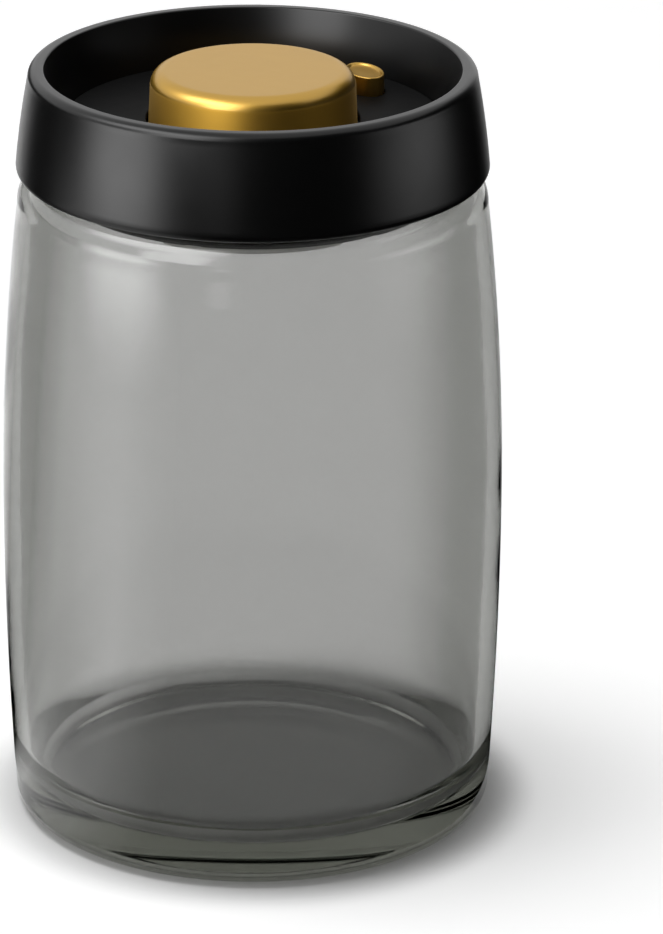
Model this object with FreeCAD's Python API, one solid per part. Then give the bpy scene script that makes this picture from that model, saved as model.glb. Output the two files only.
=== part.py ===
import FreeCAD
import Part
import math
import os

from FreeCAD import Vector

# Vacuum seal canister: a glass jar, a lid with a press pump in it, and a release valve.
# Millimetres, +Z up, origin at the centre of the jar's foot.

# Glass jar
belly_radius = 50.0
belly_height = 64.0
heel_radius = 48.2
heel_round = 4.0
shoulder_radius = 46.4
shoulder_height = 127.0
glass_wall = 3.2
glass_floor = 7.0
inner_heel_round = 9.0
foot_land = 8.0
push_up = 1.0
neck_wall = 2.9
neck_gap = 1.575
neck_share = 0.25
neck_rise = 11.2
neck_lip_round = 0.8

# Lid stack, from the neck's lip up
gasket_flange = 1.0
base_flange = 1.6
collar_lip = 1.4
deck_thickness = 1.6
recess_depth = 10.3

# Lid collar
collar_height = 20.8
collar_foot_radius = 46.5
collar_top_radius = 44.0
collar_crown = 0.22
collar_wall = 2.0
collar_foot_round = 1.5
collar_top_round = 1.7
collar_inner_wall = 1.9
collar_solid_rim = 5.6
rim_width = 3.1
rim_edge_round = 0.4
collar_lip_width = 2.2

# Lid deck
deck_gap = 0.15
deck_edge_round = 0.3
deck_boss_radius = 2.8
lid_screw_count = 6
lid_screw_margin = 3.85

# Lid base
plug_depth = 10.3
plug_wall = 2.0
plug_step = 0.15
plug_gap = 2.05
lid_floor = 2.6
plug_bevel_width = 5.0
plug_bevel_drop = 2.7
gasket_keeper = 1.0
gasket_keeper_width = 1.0
base_flange_gap = 0.65
base_flange_share = 0.36

# Lid gasket
gasket_wall = 0.8
gasket_lip_count = 2
gasket_lip_gap = 0.25
gasket_lip_height = 1.4
gasket_lip_step = 2.1
gasket_flange_width = 4.4

# Pump cylinder and its floor
cylinder_bore = 15.5
cylinder_wall = 1.4
cylinder_floor = 1.5
cylinder_drop = 3.0
cylinder_flange = 1.4
cylinder_flange_width = 5.3
cylinder_spare = 0.9
cylinder_hole_gap = 0.2
ear_count = 3
ear_circle = 25.4
ear_radius = 2.9
ear_height = 6.5
seal_circle = 19.6
seal_wire = 0.6
seal_groove_gap = 0.1

# Intake valve, filter and cover
intake_port_count = 4
intake_port_circle = 2.6
intake_port_radius = 0.8
umbrella_radius = 4.2
umbrella_height = 1.2
umbrella_edge = 0.4
umbrella_stem = 1.0
umbrella_bulb = 1.7
umbrella_bulb_length = 1.1
valve_gap = 0.1
plenum_height = 1.4
plenum_radius = 12.0
filter_radius = 13.1
filter_thickness = 1.0
filter_gap = 0.1
cover_thickness = 1.0
cover_hole_radius = 0.8
cover_ring_step = 3.6
cover_ring_count = 3
cover_holes_per_ring = 6

# Piston and exhaust valve
stroke = 7.0
piston_end_gap = 0.4
piston_thickness = 4.2
piston_gap = 0.3
piston_groove_height = 2.2
piston_groove_depth = 2.0
piston_groove_land = 1.0
piston_seal_gap = 0.06
piston_seal_play = 0.1
pocket_radius = 7.4
pocket_wall = 1.6
pocket_depth = 8.9
pocket_roof = 1.6
exhaust_port_count = 6
exhaust_port_circle = 11.6
exhaust_port_radius = 0.9
flap_thickness = 0.8
flap_radius = 13.4
flap_gap = 0.1

# Pump knob and its core
knob_rise = 9.7
knob_foot_radius = 20.5
knob_top_radius = 20.0
knob_round = 3.0
knob_roof = 1.5
knob_bore = 18.4
knob_bore_round = 1.5
knob_hole_gap = 0.4
knob_stop_gap = 0.3
core_gap = 0.1
core_wall = 1.1
core_flange = 1.6
core_flange_radius = 22.0
core_plate = 1.6
core_plate_gap = 0.6
core_sleeve_wall = 1.3
core_boss_radius = 4.0

# Pump spring
pump_spring_radius = 6.2
pump_spring_wire = 0.5
pump_spring_turns = 7
coil_gap = 0.45

# Release button, stem and seat
release_margin = 6.15
release_azimuth = 40.6
release_turn = 112.0
button_half_length = 5.6
button_half_width = 3.5
button_rise = 3.8
button_rim = 0.6
button_dish = 0.45
button_wall = 1.0
button_roof = 1.3
button_edge_round = 0.2
button_gap = 0.3
head_margin = 1.1
head_thickness = 1.5
head_stop_gap = 0.3
key_gap = 0.05
stem_radius = 1.4
stem_gap = 0.3
stem_end = 0.9
seat_radius = 4.0
seat_flange = 1.2
seat_flange_width = 1.0
seat_gap = 0.05
slot_count = 4
slot_width = 1.0
slot_reach = 1.0
plug_radius = 3.8
plug_thickness = 2.2
plug_edge_round = 0.5
plug_bore_gap = 0.05
clip_thickness = 0.6
clip_radius = 2.7
clip_groove_depth = 0.45
clip_gap = 0.05
clip_mouth = 1.2
release_spring_radius = 2.6
release_spring_wire = 0.25
release_spring_turns = 5

# Screws
screw_radius = 1.15
screw_gap = 0.05
screw_head_radius = 2.3
screw_head_height = 1.45
screw_head_gap = 0.3
screw_head_inset = 0.05
screw_cross_width = 0.6
screw_cross_depth = 0.8
screw_tip_room = 1.0
lid_screw_bite = 8.0
ear_screw_bite = 4.0
piston_screw_radius = 1.6
piston_screw_head = 3.2
piston_screw_head_height = 2.1
piston_screw_bite = 3.6

# Cuts run past the face that they open by this much
overrun = 1.0

# Plain numbers
full_turn = 360.0
arcs_per_turn = 4
gap_samples = 720
dome_share = 0.75

# Heights worked out from the stack
neck_top = shoulder_height + neck_rise
flange_bottom = neck_top + gasket_flange
flange_top = flange_bottom + base_flange
deck_bottom = flange_top + collar_lip
deck_top = deck_bottom + deck_thickness
lid_top = deck_top + recess_depth
collar_bottom = lid_top - collar_height
floor_bottom = flange_bottom - plug_depth
floor_top = floor_bottom + lid_floor
head_seat = floor_bottom + screw_head_height + screw_head_inset

chamber_bottom = floor_top - cylinder_drop
cylinder_under = chamber_bottom - cylinder_floor
filter_top = cylinder_under - plenum_height
cover_top = filter_top - filter_thickness
cover_bottom = cover_top - cover_thickness
piston_bottom = chamber_bottom + piston_end_gap + stroke
piston_top = piston_bottom + piston_thickness
cylinder_top = piston_top + cylinder_spare
pocket_top = piston_bottom + pocket_depth
hub_top = pocket_top + pocket_roof
core_flange_top = deck_bottom - knob_stop_gap
core_plate_bottom = cylinder_top + stroke + core_plate_gap
knob_top = deck_top + knob_rise
knob_ceiling = knob_top - knob_roof

head_top = deck_bottom - head_stop_gap
head_bottom = head_top - head_thickness
button_top = deck_top + button_rise
seat_top = floor_top + seat_flange
plug_bottom = floor_bottom - plug_thickness
clip_bottom = plug_bottom - clip_thickness
stem_bottom = clip_bottom - stem_end

# Radii worked out from the pieces that they fit: the collar tapers, so what lies inside it
# follows its foot and a share of its taper
collar_taper = collar_foot_radius - collar_top_radius
skirt_radius = collar_foot_radius - collar_wall
neck_outer = skirt_radius - neck_share * collar_taper - neck_gap
neck_inner = neck_outer - neck_wall
shoulder_round = shoulder_radius - neck_inner
base_flange_radius = skirt_radius - base_flange_share * collar_taper - base_flange_gap
plug_outer = neck_inner - plug_gap
plug_inner = plug_outer - plug_wall
recess_foot_radius = plug_outer - plug_step
rim_inner_radius = collar_top_radius - rim_width
deck_radius = recess_foot_radius - deck_gap
lid_screw_circle = plug_inner - lid_screw_margin
release_circle = plug_inner - release_margin
cylinder_outer = cylinder_bore + cylinder_wall
core_outer = knob_bore - core_gap
core_inner = core_outer - core_wall
hub_outer = pocket_radius + pocket_wall
sleeve_inner = hub_outer + flap_gap
piston_radius = cylinder_bore - piston_gap
key_half_length = button_half_length - button_wall
key_half_width = button_half_width - button_wall

axis = Vector(0, 0, 1)
origin = Vector(0, 0, 0)


def polar(radius, degrees, height=0):
    turn = math.radians(degrees)
    return Vector(radius * math.cos(turn), radius * math.sin(turn), height)


release_place = polar(release_circle, release_azimuth)
screw_places = [
    polar(lid_screw_circle, release_azimuth + (step + 1 / 2) * full_turn / lid_screw_count)
    for step in range(lid_screw_count)
]
ear_angles = [
    release_azimuth + (step + 1 / 2) * full_turn / ear_count for step in range(ear_count)
]
ear_places = [polar(ear_circle, angle) for angle in ear_angles]


def section_point(corner):
    return Vector(corner[0], 0, corner[1])


def rounded(corners):
    """Outline steps for straight sides: (r, z) is sharp and (r, z, radius) is rounded."""
    steps = []
    for index, corner in enumerate(corners):
        here = section_point(corner)
        if len(corner) < 3:
            steps.append((here.x, here.z))
            continue
        size = corner[2]
        before = (section_point(corners[index - 1]) - here).normalize()
        after = (section_point(corners[(index + 1) % len(corners)]) - here).normalize()
        half = before.getAngle(after) / 2
        centre = here + (before + after).normalize() * (size / math.sin(half))
        start = here + before * (size / math.tan(half))
        end = here + after * (size / math.tan(half))
        through = centre + (here - centre).normalize() * size
        steps.append((start.x, start.z))
        steps.append(((through.x, through.z), (end.x, end.z)))
    return steps


def lathe(steps):
    """Turned solid: a step is a corner (r, z), or an arc as ((r, z) through, (r, z) end)."""
    edges = []
    here = steps[0]
    for step in steps[1:] + steps[:1]:
        if isinstance(step[0], tuple):
            through, there = step
            arc = Part.Arc(section_point(here), section_point(through), section_point(there))
            edges.append(arc.toShape())
        else:
            there = step
            edges.append(Part.LineSegment(section_point(here), section_point(there)).toShape())
        here = there
    return Part.Face(Part.Wire(edges)).revolve(origin, axis, full_turn)


def post(radius, bottom, top, place=origin):
    return Part.makeCylinder(radius, top - bottom, Vector(place.x, place.y, bottom), axis)


def ring(inner, outer, bottom, top, place=origin):
    hole = post(inner, bottom - overrun, top + overrun, place)
    return post(outer, bottom, top, place).cut(hole)


def oval(half_length, half_width, bottom, top):
    """Upright oval post at the release button's place and turn."""
    turn = math.radians(release_turn)
    along = Vector(math.cos(turn), math.sin(turn), 0) * half_length
    across = Vector(-math.sin(turn), math.cos(turn), 0) * half_width
    centre = Vector(release_place.x, release_place.y, bottom)
    edge = Part.Ellipse(centre + along, centre + across, centre).toShape()
    return Part.Face(Part.Wire([edge])).extrude(axis * (top - bottom))


def bulge(edge_radius, edge_height, height):
    """Radius at a height on the arc that leaves the belly upright and passes the given edge."""
    rise = edge_height - belly_height
    drop = belly_radius - edge_radius
    bend = (rise * rise + drop * drop) / (2 * drop)
    away = height - belly_height
    return belly_radius - bend + math.copysign(math.sqrt(bend * bend - away * away), bend)


def quarter(centre, start, end):
    """Point halfway round a quarter turn from start to end about a centre, all (r, z)."""
    toward = (section_point(start) + section_point(end)) / 2 - section_point(centre)
    reach = (section_point(start) - section_point(centre)).Length
    through = section_point(centre) + toward.normalize() * reach
    return (through.x, through.z)


def glass_jar():
    foot_outer = heel_radius - heel_round
    foot_inner = foot_outer - foot_land
    low_middle = (heel_round + belly_height) / 2
    high_middle = (shoulder_height + belly_height) / 2
    low_radius = bulge(heel_radius, heel_round, low_middle)
    high_radius = bulge(shoulder_radius, shoulder_height, high_middle)
    crest = math.sqrt(shoulder_round ** 2 - neck_wall ** 2)
    heel = (heel_radius, heel_round)
    shoulder = (shoulder_radius, shoulder_height)
    neck_foot = (neck_outer, shoulder_height + crest)
    shoulder_through = quarter((neck_inner, shoulder_height), shoulder, neck_foot)
    foot_through = quarter((foot_outer, heel_round), (foot_outer, 0), heel)
    side_inner = shoulder_radius - glass_wall
    throat = (neck_inner, shoulder_height + side_inner - neck_inner)
    throat_through = quarter((neck_inner, shoulder_height), (side_inner, shoulder_height), throat)
    inner_heel_height = glass_floor + inner_heel_round
    inner_heel = (bulge(heel_radius, heel_round, inner_heel_height) - glass_wall, inner_heel_height)
    floor_edge = (inner_heel[0] - inner_heel_round, glass_floor)
    floor_through = quarter((floor_edge[0], inner_heel_height), inner_heel, floor_edge)
    lip_low = neck_top - neck_lip_round
    lip_outer = neck_outer - neck_lip_round
    lip_inner = neck_inner + neck_lip_round
    outer_lip = quarter((lip_outer, lip_low), (neck_outer, lip_low), (lip_outer, neck_top))
    inner_lip = quarter((lip_inner, lip_low), (lip_inner, neck_top), (neck_inner, lip_low))
    return lathe([
        (0, push_up),
        ((foot_inner / 2, push_up * dome_share), (foot_inner, 0)),
        (foot_outer, 0),
        (foot_through, heel),
        ((low_radius, low_middle), (belly_radius, belly_height)),
        ((high_radius, high_middle), shoulder),
        (shoulder_through, neck_foot),
        (neck_outer, lip_low),
        (outer_lip, (lip_outer, neck_top)),
        (lip_inner, neck_top),
        (inner_lip, (neck_inner, lip_low)),
        throat,
        (throat_through, (side_inner, shoulder_height)),
        ((high_radius - glass_wall, high_middle), (belly_radius - glass_wall, belly_height)),
        ((low_radius - glass_wall, low_middle), inner_heel),
        (floor_through, floor_edge),
        (0, glass_floor),
    ])


def lid_collar():
    side_bottom = collar_bottom + collar_foot_round
    side_top = lid_top - collar_top_round
    side_middle = (side_bottom + side_top) / 2
    side_crown = (collar_foot_radius + collar_top_radius) / 2 + collar_crown
    foot_edge = collar_foot_radius - collar_foot_round
    top_edge = collar_top_radius - collar_top_round
    foot_through = quarter((foot_edge, side_bottom), (foot_edge, collar_bottom),
                           (collar_foot_radius, side_bottom))
    top_through = quarter((top_edge, side_top), (collar_top_radius, side_top), (top_edge, lid_top))
    slope = (rim_inner_radius - recess_foot_radius) / recess_depth
    cavity_top = lid_top - collar_solid_rim
    cavity_inner = recess_foot_radius + slope * (cavity_top - deck_top) + collar_inner_wall
    cavity_share = (cavity_top - side_bottom) / (side_top - side_bottom)
    cavity_outer = (collar_foot_radius - collar_wall
                    - cavity_share * (collar_foot_radius - collar_top_radius))
    leg_outer = recess_foot_radius + collar_inner_wall
    lip_inner = recess_foot_radius - collar_lip_width
    edge = rounded([
        (top_edge, lid_top),
        (rim_inner_radius, lid_top, rim_edge_round),
        (recess_foot_radius, deck_top),
    ])
    return lathe([
        (collar_foot_radius - collar_wall, collar_bottom),
        (foot_edge, collar_bottom),
        (foot_through, (collar_foot_radius, side_bottom)),
        ((side_crown, side_middle), (collar_top_radius, side_top)),
        (top_through, edge[0]),
        *edge[1:],
        (recess_foot_radius, deck_bottom),
        (lip_inner, deck_bottom),
        (lip_inner, flange_top),
        (leg_outer, flange_top),
        (leg_outer, deck_top),
        (cavity_inner, cavity_top),
        (cavity_outer, cavity_top),
    ])


def lid_deck():
    knob_hole = knob_foot_radius + knob_hole_gap
    deck = lathe(rounded([
        (knob_hole, deck_bottom),
        (deck_radius, deck_bottom),
        (deck_radius, deck_top, deck_edge_round),
        (knob_hole, deck_top, deck_edge_round),
    ]))
    window = oval(button_half_length + button_gap, button_half_width + button_gap,
                  deck_bottom - overrun, deck_top + overrun)
    deck = deck.cut(window)
    pilot_top = head_seat + lid_screw_bite + screw_tip_room
    for place in screw_places:
        deck = deck.fuse(post(deck_boss_radius, floor_top, deck_bottom, place))
        deck = deck.cut(post(screw_radius + screw_gap, floor_top - overrun, pilot_top, place))
    return deck.removeSplitter()


def screw_hole(place):
    """Clearance hole and head pocket through the lid floor, from below."""
    hole = post(screw_radius + screw_gap, floor_bottom - overrun, floor_top + overrun, place)
    head = post(screw_head_radius + screw_head_gap, floor_bottom - overrun, head_seat, place)
    return hole.fuse(head)


def lid_base():
    keeper_bottom = floor_bottom + plug_bevel_drop
    keeper_top = keeper_bottom + gasket_keeper
    keeper_radius = plug_outer + gasket_keeper_width
    base = lathe([
        (cylinder_outer + cylinder_hole_gap, floor_bottom),
        (keeper_radius - plug_bevel_width, floor_bottom),
        (keeper_radius, keeper_bottom),
        (keeper_radius, keeper_top),
        (plug_outer, keeper_top),
        (plug_outer, flange_bottom),
        (base_flange_radius, flange_bottom),
        (base_flange_radius, flange_top),
        (plug_inner, flange_top),
        (plug_inner, floor_top),
        (cylinder_outer + cylinder_hole_gap, floor_top),
    ])
    groove = seal_wire + seal_groove_gap
    base = base.cut(ring(seal_circle - groove, seal_circle + groove,
                         floor_top - 2 * seal_wire, floor_top + overrun))
    for place in screw_places + ear_places:
        base = base.cut(screw_hole(place))
    seat_hole = seat_radius + seat_gap
    return base.cut(post(seat_hole, floor_bottom - overrun, floor_top + overrun, release_place))


def lid_gasket():
    keeper_top = floor_bottom + plug_bevel_drop + gasket_keeper
    sleeve = plug_outer + gasket_wall
    lip = neck_inner - gasket_lip_gap
    steps = [(plug_outer, keeper_top), (sleeve, keeper_top)]
    for step in range(gasket_lip_count):
        lip_foot = keeper_top + step * gasket_lip_step
        steps.append((sleeve, lip_foot + gasket_lip_step - gasket_lip_height))
        steps.append((lip, lip_foot + gasket_lip_step))
        steps.append((sleeve, lip_foot + gasket_lip_step))
    steps += [
        (sleeve, neck_top),
        (plug_outer + gasket_flange_width, neck_top),
        (plug_outer + gasket_flange_width, flange_bottom),
        (plug_outer, flange_bottom),
    ]
    return lathe(steps)


def pan_screw(radius, head_radius, head_height, head_top, bite, place=origin):
    """Screw that points up, its head below head_top, with a cross cut in the head."""
    head_bottom_face = head_top - head_height
    screw = post(head_radius, head_bottom_face, head_top, place)
    screw = screw.fuse(post(radius, head_top, head_top + bite, place))
    for long_x, long_y in ((head_radius, screw_cross_width), (screw_cross_width, head_radius)):
        corner = Vector(place.x - long_x / 2, place.y - long_y / 2, head_bottom_face - overrun)
        screw = screw.cut(Part.makeBox(long_x, long_y, overrun + screw_cross_depth, corner))
    return screw


def pan_screws(places, bite):
    screws = [
        pan_screw(screw_radius, screw_head_radius, screw_head_height, head_seat, bite, place)
        for place in places
    ]
    return Part.makeCompound(screws)


def lid_screws():
    return pan_screws(screw_places, lid_screw_bite)


def cylinder_screws():
    return pan_screws(ear_places, ear_screw_bite)


def pump_cylinder():
    flange_outer = cylinder_outer + cylinder_flange_width
    cylinder = lathe([
        (0, cylinder_under),
        (plenum_radius, cylinder_under),
        (plenum_radius, filter_top),
        (filter_radius + filter_gap, filter_top),
        (filter_radius + filter_gap, cover_bottom),
        (cylinder_outer, cover_bottom),
        (cylinder_outer, floor_top),
        (flange_outer, floor_top),
        (flange_outer, floor_top + cylinder_flange),
        (cylinder_outer, floor_top + cylinder_flange),
        (cylinder_outer, cylinder_top),
        (cylinder_bore, cylinder_top),
        (cylinder_bore, chamber_bottom),
        (0, chamber_bottom),
    ])
    for angle, place in zip(ear_angles, ear_places):
        web = Part.makeBox(ear_circle - cylinder_outer, 2 * ear_radius, cylinder_flange,
                           Vector(cylinder_outer, -ear_radius, floor_top))
        web.rotate(origin, axis, angle)
        boss = post(ear_radius, floor_top, floor_top + ear_height, place)
        clear = post(core_flange_radius + knob_hole_gap, floor_top + cylinder_flange,
                     cylinder_top + overrun)
        cylinder = cylinder.fuse([web, boss.cut(clear)])
        pilot_top = head_seat + ear_screw_bite + screw_tip_room
        cylinder = cylinder.cut(post(screw_radius + screw_gap, floor_top - overrun,
                                     pilot_top, place))
    stem_hole = post(umbrella_stem + valve_gap, cylinder_under - overrun, chamber_bottom + overrun)
    cylinder = cylinder.cut(stem_hole)
    for step in range(intake_port_count):
        place = polar(intake_port_circle, step * full_turn / intake_port_count)
        cylinder = cylinder.cut(post(intake_port_radius, cylinder_under - overrun,
                                     chamber_bottom + overrun, place))
    return cylinder.removeSplitter()


def cylinder_seal():
    return Part.makeTorus(seal_circle, seal_wire, Vector(0, 0, floor_top - seal_wire), axis)


def intake_valve():
    crown = chamber_bottom + umbrella_height
    shoulder = ((umbrella_radius + umbrella_stem) / 2, chamber_bottom + umbrella_height * dome_share)
    return lathe([
        (0, cylinder_under - umbrella_bulb_length),
        (umbrella_stem, cylinder_under - umbrella_bulb_length),
        (umbrella_bulb, cylinder_under),
        (umbrella_stem, cylinder_under),
        (umbrella_stem, chamber_bottom),
        (umbrella_radius, chamber_bottom),
        (umbrella_radius, chamber_bottom + umbrella_edge),
        (shoulder, (umbrella_stem, crown)),
        (0, crown),
    ])


def intake_filter():
    return post(filter_radius, cover_top, filter_top)


def filter_cover():
    cover = post(filter_radius, cover_bottom, cover_top)
    holes = [post(cover_hole_radius, cover_bottom - overrun, cover_top + overrun)]
    for row in range(1, cover_ring_count + 1):
        count = row * cover_holes_per_ring
        for step in range(count):
            place = polar(row * cover_ring_step, step * full_turn / count)
            holes.append(post(cover_hole_radius, cover_bottom - overrun, cover_top + overrun, place))
    return cover.cut(holes)


def piston():
    groove_bottom = piston_bottom + piston_groove_land
    groove_top = groove_bottom + piston_groove_height
    groove_radius = piston_radius - piston_groove_depth
    body = lathe([
        (pocket_radius, piston_bottom),
        (piston_radius, piston_bottom),
        (piston_radius, groove_bottom),
        (groove_radius, groove_bottom),
        (groove_radius, groove_top),
        (piston_radius, groove_top),
        (piston_radius, piston_top),
        (hub_outer, piston_top),
        (hub_outer, hub_top),
        (piston_screw_radius + screw_gap, hub_top),
        (piston_screw_radius + screw_gap, pocket_top),
        (pocket_radius, pocket_top),
    ])
    for step in range(exhaust_port_count):
        place = polar(exhaust_port_circle, step * full_turn / exhaust_port_count)
        body = body.cut(post(exhaust_port_radius, piston_bottom - overrun,
                             piston_top + overrun, place))
    return body


def piston_seal():
    bottom = piston_bottom + piston_groove_land + piston_seal_play
    top = bottom + piston_groove_height - 2 * piston_seal_play
    inner = piston_radius - piston_groove_depth
    lip = cylinder_bore - piston_seal_gap
    waist = piston_radius - piston_seal_play
    middle = (bottom + top) / 2
    return lathe([(inner, bottom), (lip, bottom), (waist, middle), (lip, top), (inner, top)])


def exhaust_valve():
    return ring(hub_outer + flap_gap, flap_radius, piston_top, piston_top + flap_thickness)


def piston_screw():
    return pan_screw(piston_screw_radius, piston_screw_head, piston_screw_head_height,
                     pocket_top, pocket_roof + piston_screw_bite)


def knob_core():
    plate_top = core_plate_bottom + core_plate
    flange_under = core_flange_top - core_flange
    sleeve_outer = sleeve_inner + core_sleeve_wall
    core = lathe([
        (0, hub_top),
        (sleeve_inner, hub_top),
        (sleeve_inner, piston_top + flap_thickness),
        (sleeve_outer, piston_top + flap_thickness),
        (sleeve_outer, core_plate_bottom),
        (core_inner, core_plate_bottom),
        (core_inner, flange_under),
        (core_flange_radius, flange_under),
        (core_flange_radius, core_flange_top),
        (core_outer, core_flange_top),
        (core_outer, plate_top),
        (core_boss_radius, plate_top),
        (core_boss_radius, knob_ceiling),
        (0, knob_ceiling),
    ])
    pilot_top = hub_top + piston_screw_bite + screw_tip_room
    return core.cut(post(piston_screw_radius + screw_gap, hub_top - overrun, pilot_top))


def pump_knob():
    return lathe(rounded([
        (0, knob_ceiling),
        (knob_bore, knob_ceiling, knob_bore_round),
        (knob_bore, core_flange_top),
        (knob_foot_radius, core_flange_top),
        (knob_top_radius, knob_top, knob_round),
        (0, knob_top),
    ]))


def release_seat():
    bush = ring(stem_radius + stem_gap, seat_radius, floor_bottom, floor_top, release_place)
    bush = bush.fuse(ring(stem_radius + stem_gap, seat_radius + seat_flange_width,
                          floor_top, seat_top, release_place))
    reach = stem_radius + stem_gap + slot_reach
    for step in range(slot_count // 2):
        slot = Part.makeBox(2 * reach, slot_width, seat_top - floor_bottom + 2 * overrun,
                            Vector(-reach, -slot_width / 2, floor_bottom - overrun))
        slot.rotate(origin, axis, step * full_turn / slot_count)
        slot.translate(release_place)
        bush = bush.cut(slot)
    return bush.removeSplitter()


def release_stem():
    head = oval(button_half_length + head_margin, button_half_width + head_margin,
                head_bottom, head_top)
    key = oval(key_half_length - key_gap, key_half_width - key_gap,
               head_top, button_top - button_roof)
    rod = post(stem_radius, stem_bottom, head_bottom, release_place)
    groove = ring(stem_radius - clip_groove_depth, stem_radius + overrun,
                  clip_bottom, plug_bottom, release_place)
    return head.fuse([key, rod]).cut(groove).removeSplitter()


def release_button():
    cap = oval(button_half_length, button_half_width, head_top, button_top)
    dish = oval(button_half_length - button_rim, button_half_width - button_rim,
                button_top - button_dish, button_top + overrun)
    cap = cap.cut(dish)
    crests = [edge for edge in cap.Edges if edge.BoundBox.ZMin > button_top - button_edge_round]
    cap = cap.makeFillet(button_edge_round, crests)
    hollow = oval(key_half_length, key_half_width, head_top - overrun, button_top - button_roof)
    return cap.cut(hollow)


def release_plug():
    plug = lathe(rounded([
        (stem_radius + plug_bore_gap, plug_bottom),
        (plug_radius, plug_bottom, plug_edge_round),
        (plug_radius, floor_bottom),
        (stem_radius + plug_bore_gap, floor_bottom),
    ]))
    plug.translate(release_place)
    return plug


def release_clip():
    bore = stem_radius - clip_groove_depth + clip_gap
    clip = ring(bore, clip_radius, clip_bottom, plug_bottom, release_place)
    mouth = Part.makeBox(clip_radius + overrun, clip_mouth, clip_thickness + 2 * overrun,
                         Vector(0, -clip_mouth / 2, clip_bottom - overrun))
    mouth.rotate(origin, axis, release_azimuth)
    mouth.translate(release_place)
    return clip.cut(mouth)


def half_arc(start, corner, end):
    """Arc from start to end that is tangent at both to the lines from them to the corner."""
    weight = (end - start).Length / (2 * (corner - start).Length)
    through = (start + corner * (2 * weight) + end) / (2 + 2 * weight)
    return Part.Arc(start, through, end).toShape()


def coil_spring(name, mean_radius, wire, turns, bottom, top):
    """Compression spring: one round wire whose pitch is close at both ends and open between."""
    rise = top - bottom - 2 * wire
    close_rise = turns * (2 * wire + coil_gap)
    open_rise = rise - close_rise

    def spot(turn):
        share = turn / turns
        swell = share - math.sin(2 * math.pi * share) / (2 * math.pi)
        height = bottom + wire + close_rise * share + open_rise * swell
        return polar(mean_radius, turn * full_turn, height)

    def heading(turn):
        share = turn / turns
        climb = close_rise + open_rise * (1 - math.cos(2 * math.pi * share))
        around = polar(2 * math.pi * mean_radius, turn * full_turn + full_turn / 4)
        return Vector(around.x, around.y, climb / turns).normalize()

    edges = []
    stations = [step / arcs_per_turn for step in range(turns * arcs_per_turn + 1)]
    for begin, finish in zip(stations, stations[1:]):
        start, end = spot(begin), spot(finish)
        leave, arrive = heading(begin), heading(finish)
        chord = end - start
        both = leave + arrive
        square = 2 * leave.dot(arrive) - 2
        linear = chord.dot(both)
        reach = (linear - math.sqrt(linear * linear - square * chord.dot(chord))) / square
        first, second = start + leave * reach, end - arrive * reach
        middle = (first + second) / 2
        edges.append(half_arc(start, first, middle))
        edges.append(half_arc(middle, second, end))
    section = Part.Wire([Part.Circle(spot(0), heading(0), wire).toShape()])
    pipe = Part.BRepOffsetAPI.MakePipeShell(Part.Wire(edges))
    pipe.add(section)
    pipe.build()
    pipe.makeSolid()
    per_turn = gap_samples // turns
    marks = [spot(turns * step / gap_samples) for step in range(gap_samples + 1)]
    least = min(
        (marks[later] - marks[early]).Length
        for early in range(len(marks))
        for later in range(early + per_turn // 2, len(marks))
    )
    print(f"{name}: least gap between turns {least - 2 * wire:.2f} mm")
    return pipe.shape()


def pump_spring():
    return coil_spring("pump_spring", pump_spring_radius, pump_spring_wire,
                       pump_spring_turns, chamber_bottom, pocket_top)


def release_spring():
    spring = coil_spring("release_spring", release_spring_radius, release_spring_wire,
                         release_spring_turns, seat_top, head_bottom)
    spring.translate(release_place)
    return spring


pieces = [
    glass_jar,
    lid_collar, lid_deck, lid_base, lid_gasket, lid_screws,
    pump_cylinder, cylinder_seal, cylinder_screws,
    intake_valve, intake_filter, filter_cover, pump_spring,
    pump_knob, knob_core, piston, piston_seal, exhaust_valve, piston_screw,
    release_button, release_stem, release_plug, release_clip, release_seat, release_spring,
]

os.makedirs("parts", exist_ok=True)
for piece in pieces:
    solid = piece()
    solid.exportStep(f"parts/{piece.__name__}.step")
    print(f"{piece.__name__}: {solid.Volume:.0f} mm3, {len(solid.Solids)} solid, {solid.isValid()}")
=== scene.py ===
"""Looks of a vacuum seal canister: a glass jar, a black lid with a gold press pump, and its works."""

import math

import bmesh
import bpy
from bpy.props import FloatProperty, FloatVectorProperty, IntProperty, PointerProperty
from mathutils import Euler, Matrix, Vector


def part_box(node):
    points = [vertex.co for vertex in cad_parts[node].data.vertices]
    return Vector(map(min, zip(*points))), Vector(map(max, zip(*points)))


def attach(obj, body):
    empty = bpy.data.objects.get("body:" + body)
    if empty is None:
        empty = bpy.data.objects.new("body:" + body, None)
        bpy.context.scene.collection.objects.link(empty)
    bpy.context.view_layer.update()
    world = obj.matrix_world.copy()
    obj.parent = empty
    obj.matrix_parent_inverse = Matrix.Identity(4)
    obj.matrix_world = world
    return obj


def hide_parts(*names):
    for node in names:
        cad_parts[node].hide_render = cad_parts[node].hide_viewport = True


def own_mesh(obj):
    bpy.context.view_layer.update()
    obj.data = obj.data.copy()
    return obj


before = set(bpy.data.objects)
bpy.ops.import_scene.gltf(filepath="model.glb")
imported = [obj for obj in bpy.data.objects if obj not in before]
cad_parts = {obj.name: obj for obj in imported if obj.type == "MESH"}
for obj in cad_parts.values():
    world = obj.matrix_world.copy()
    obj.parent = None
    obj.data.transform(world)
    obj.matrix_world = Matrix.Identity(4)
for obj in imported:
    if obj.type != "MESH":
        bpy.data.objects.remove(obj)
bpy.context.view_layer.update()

bl_info = {
    "name": "Vacuum Seal Canister",
    "version": (1, 0, 0),
    "blender": (4, 5, 0),
    "location": "3D View > Sidebar > Canister",
    "description": "Dresses the glass jar, the pump lid and the studio of a vacuum seal canister",
    "category": "Object",
}

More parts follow.
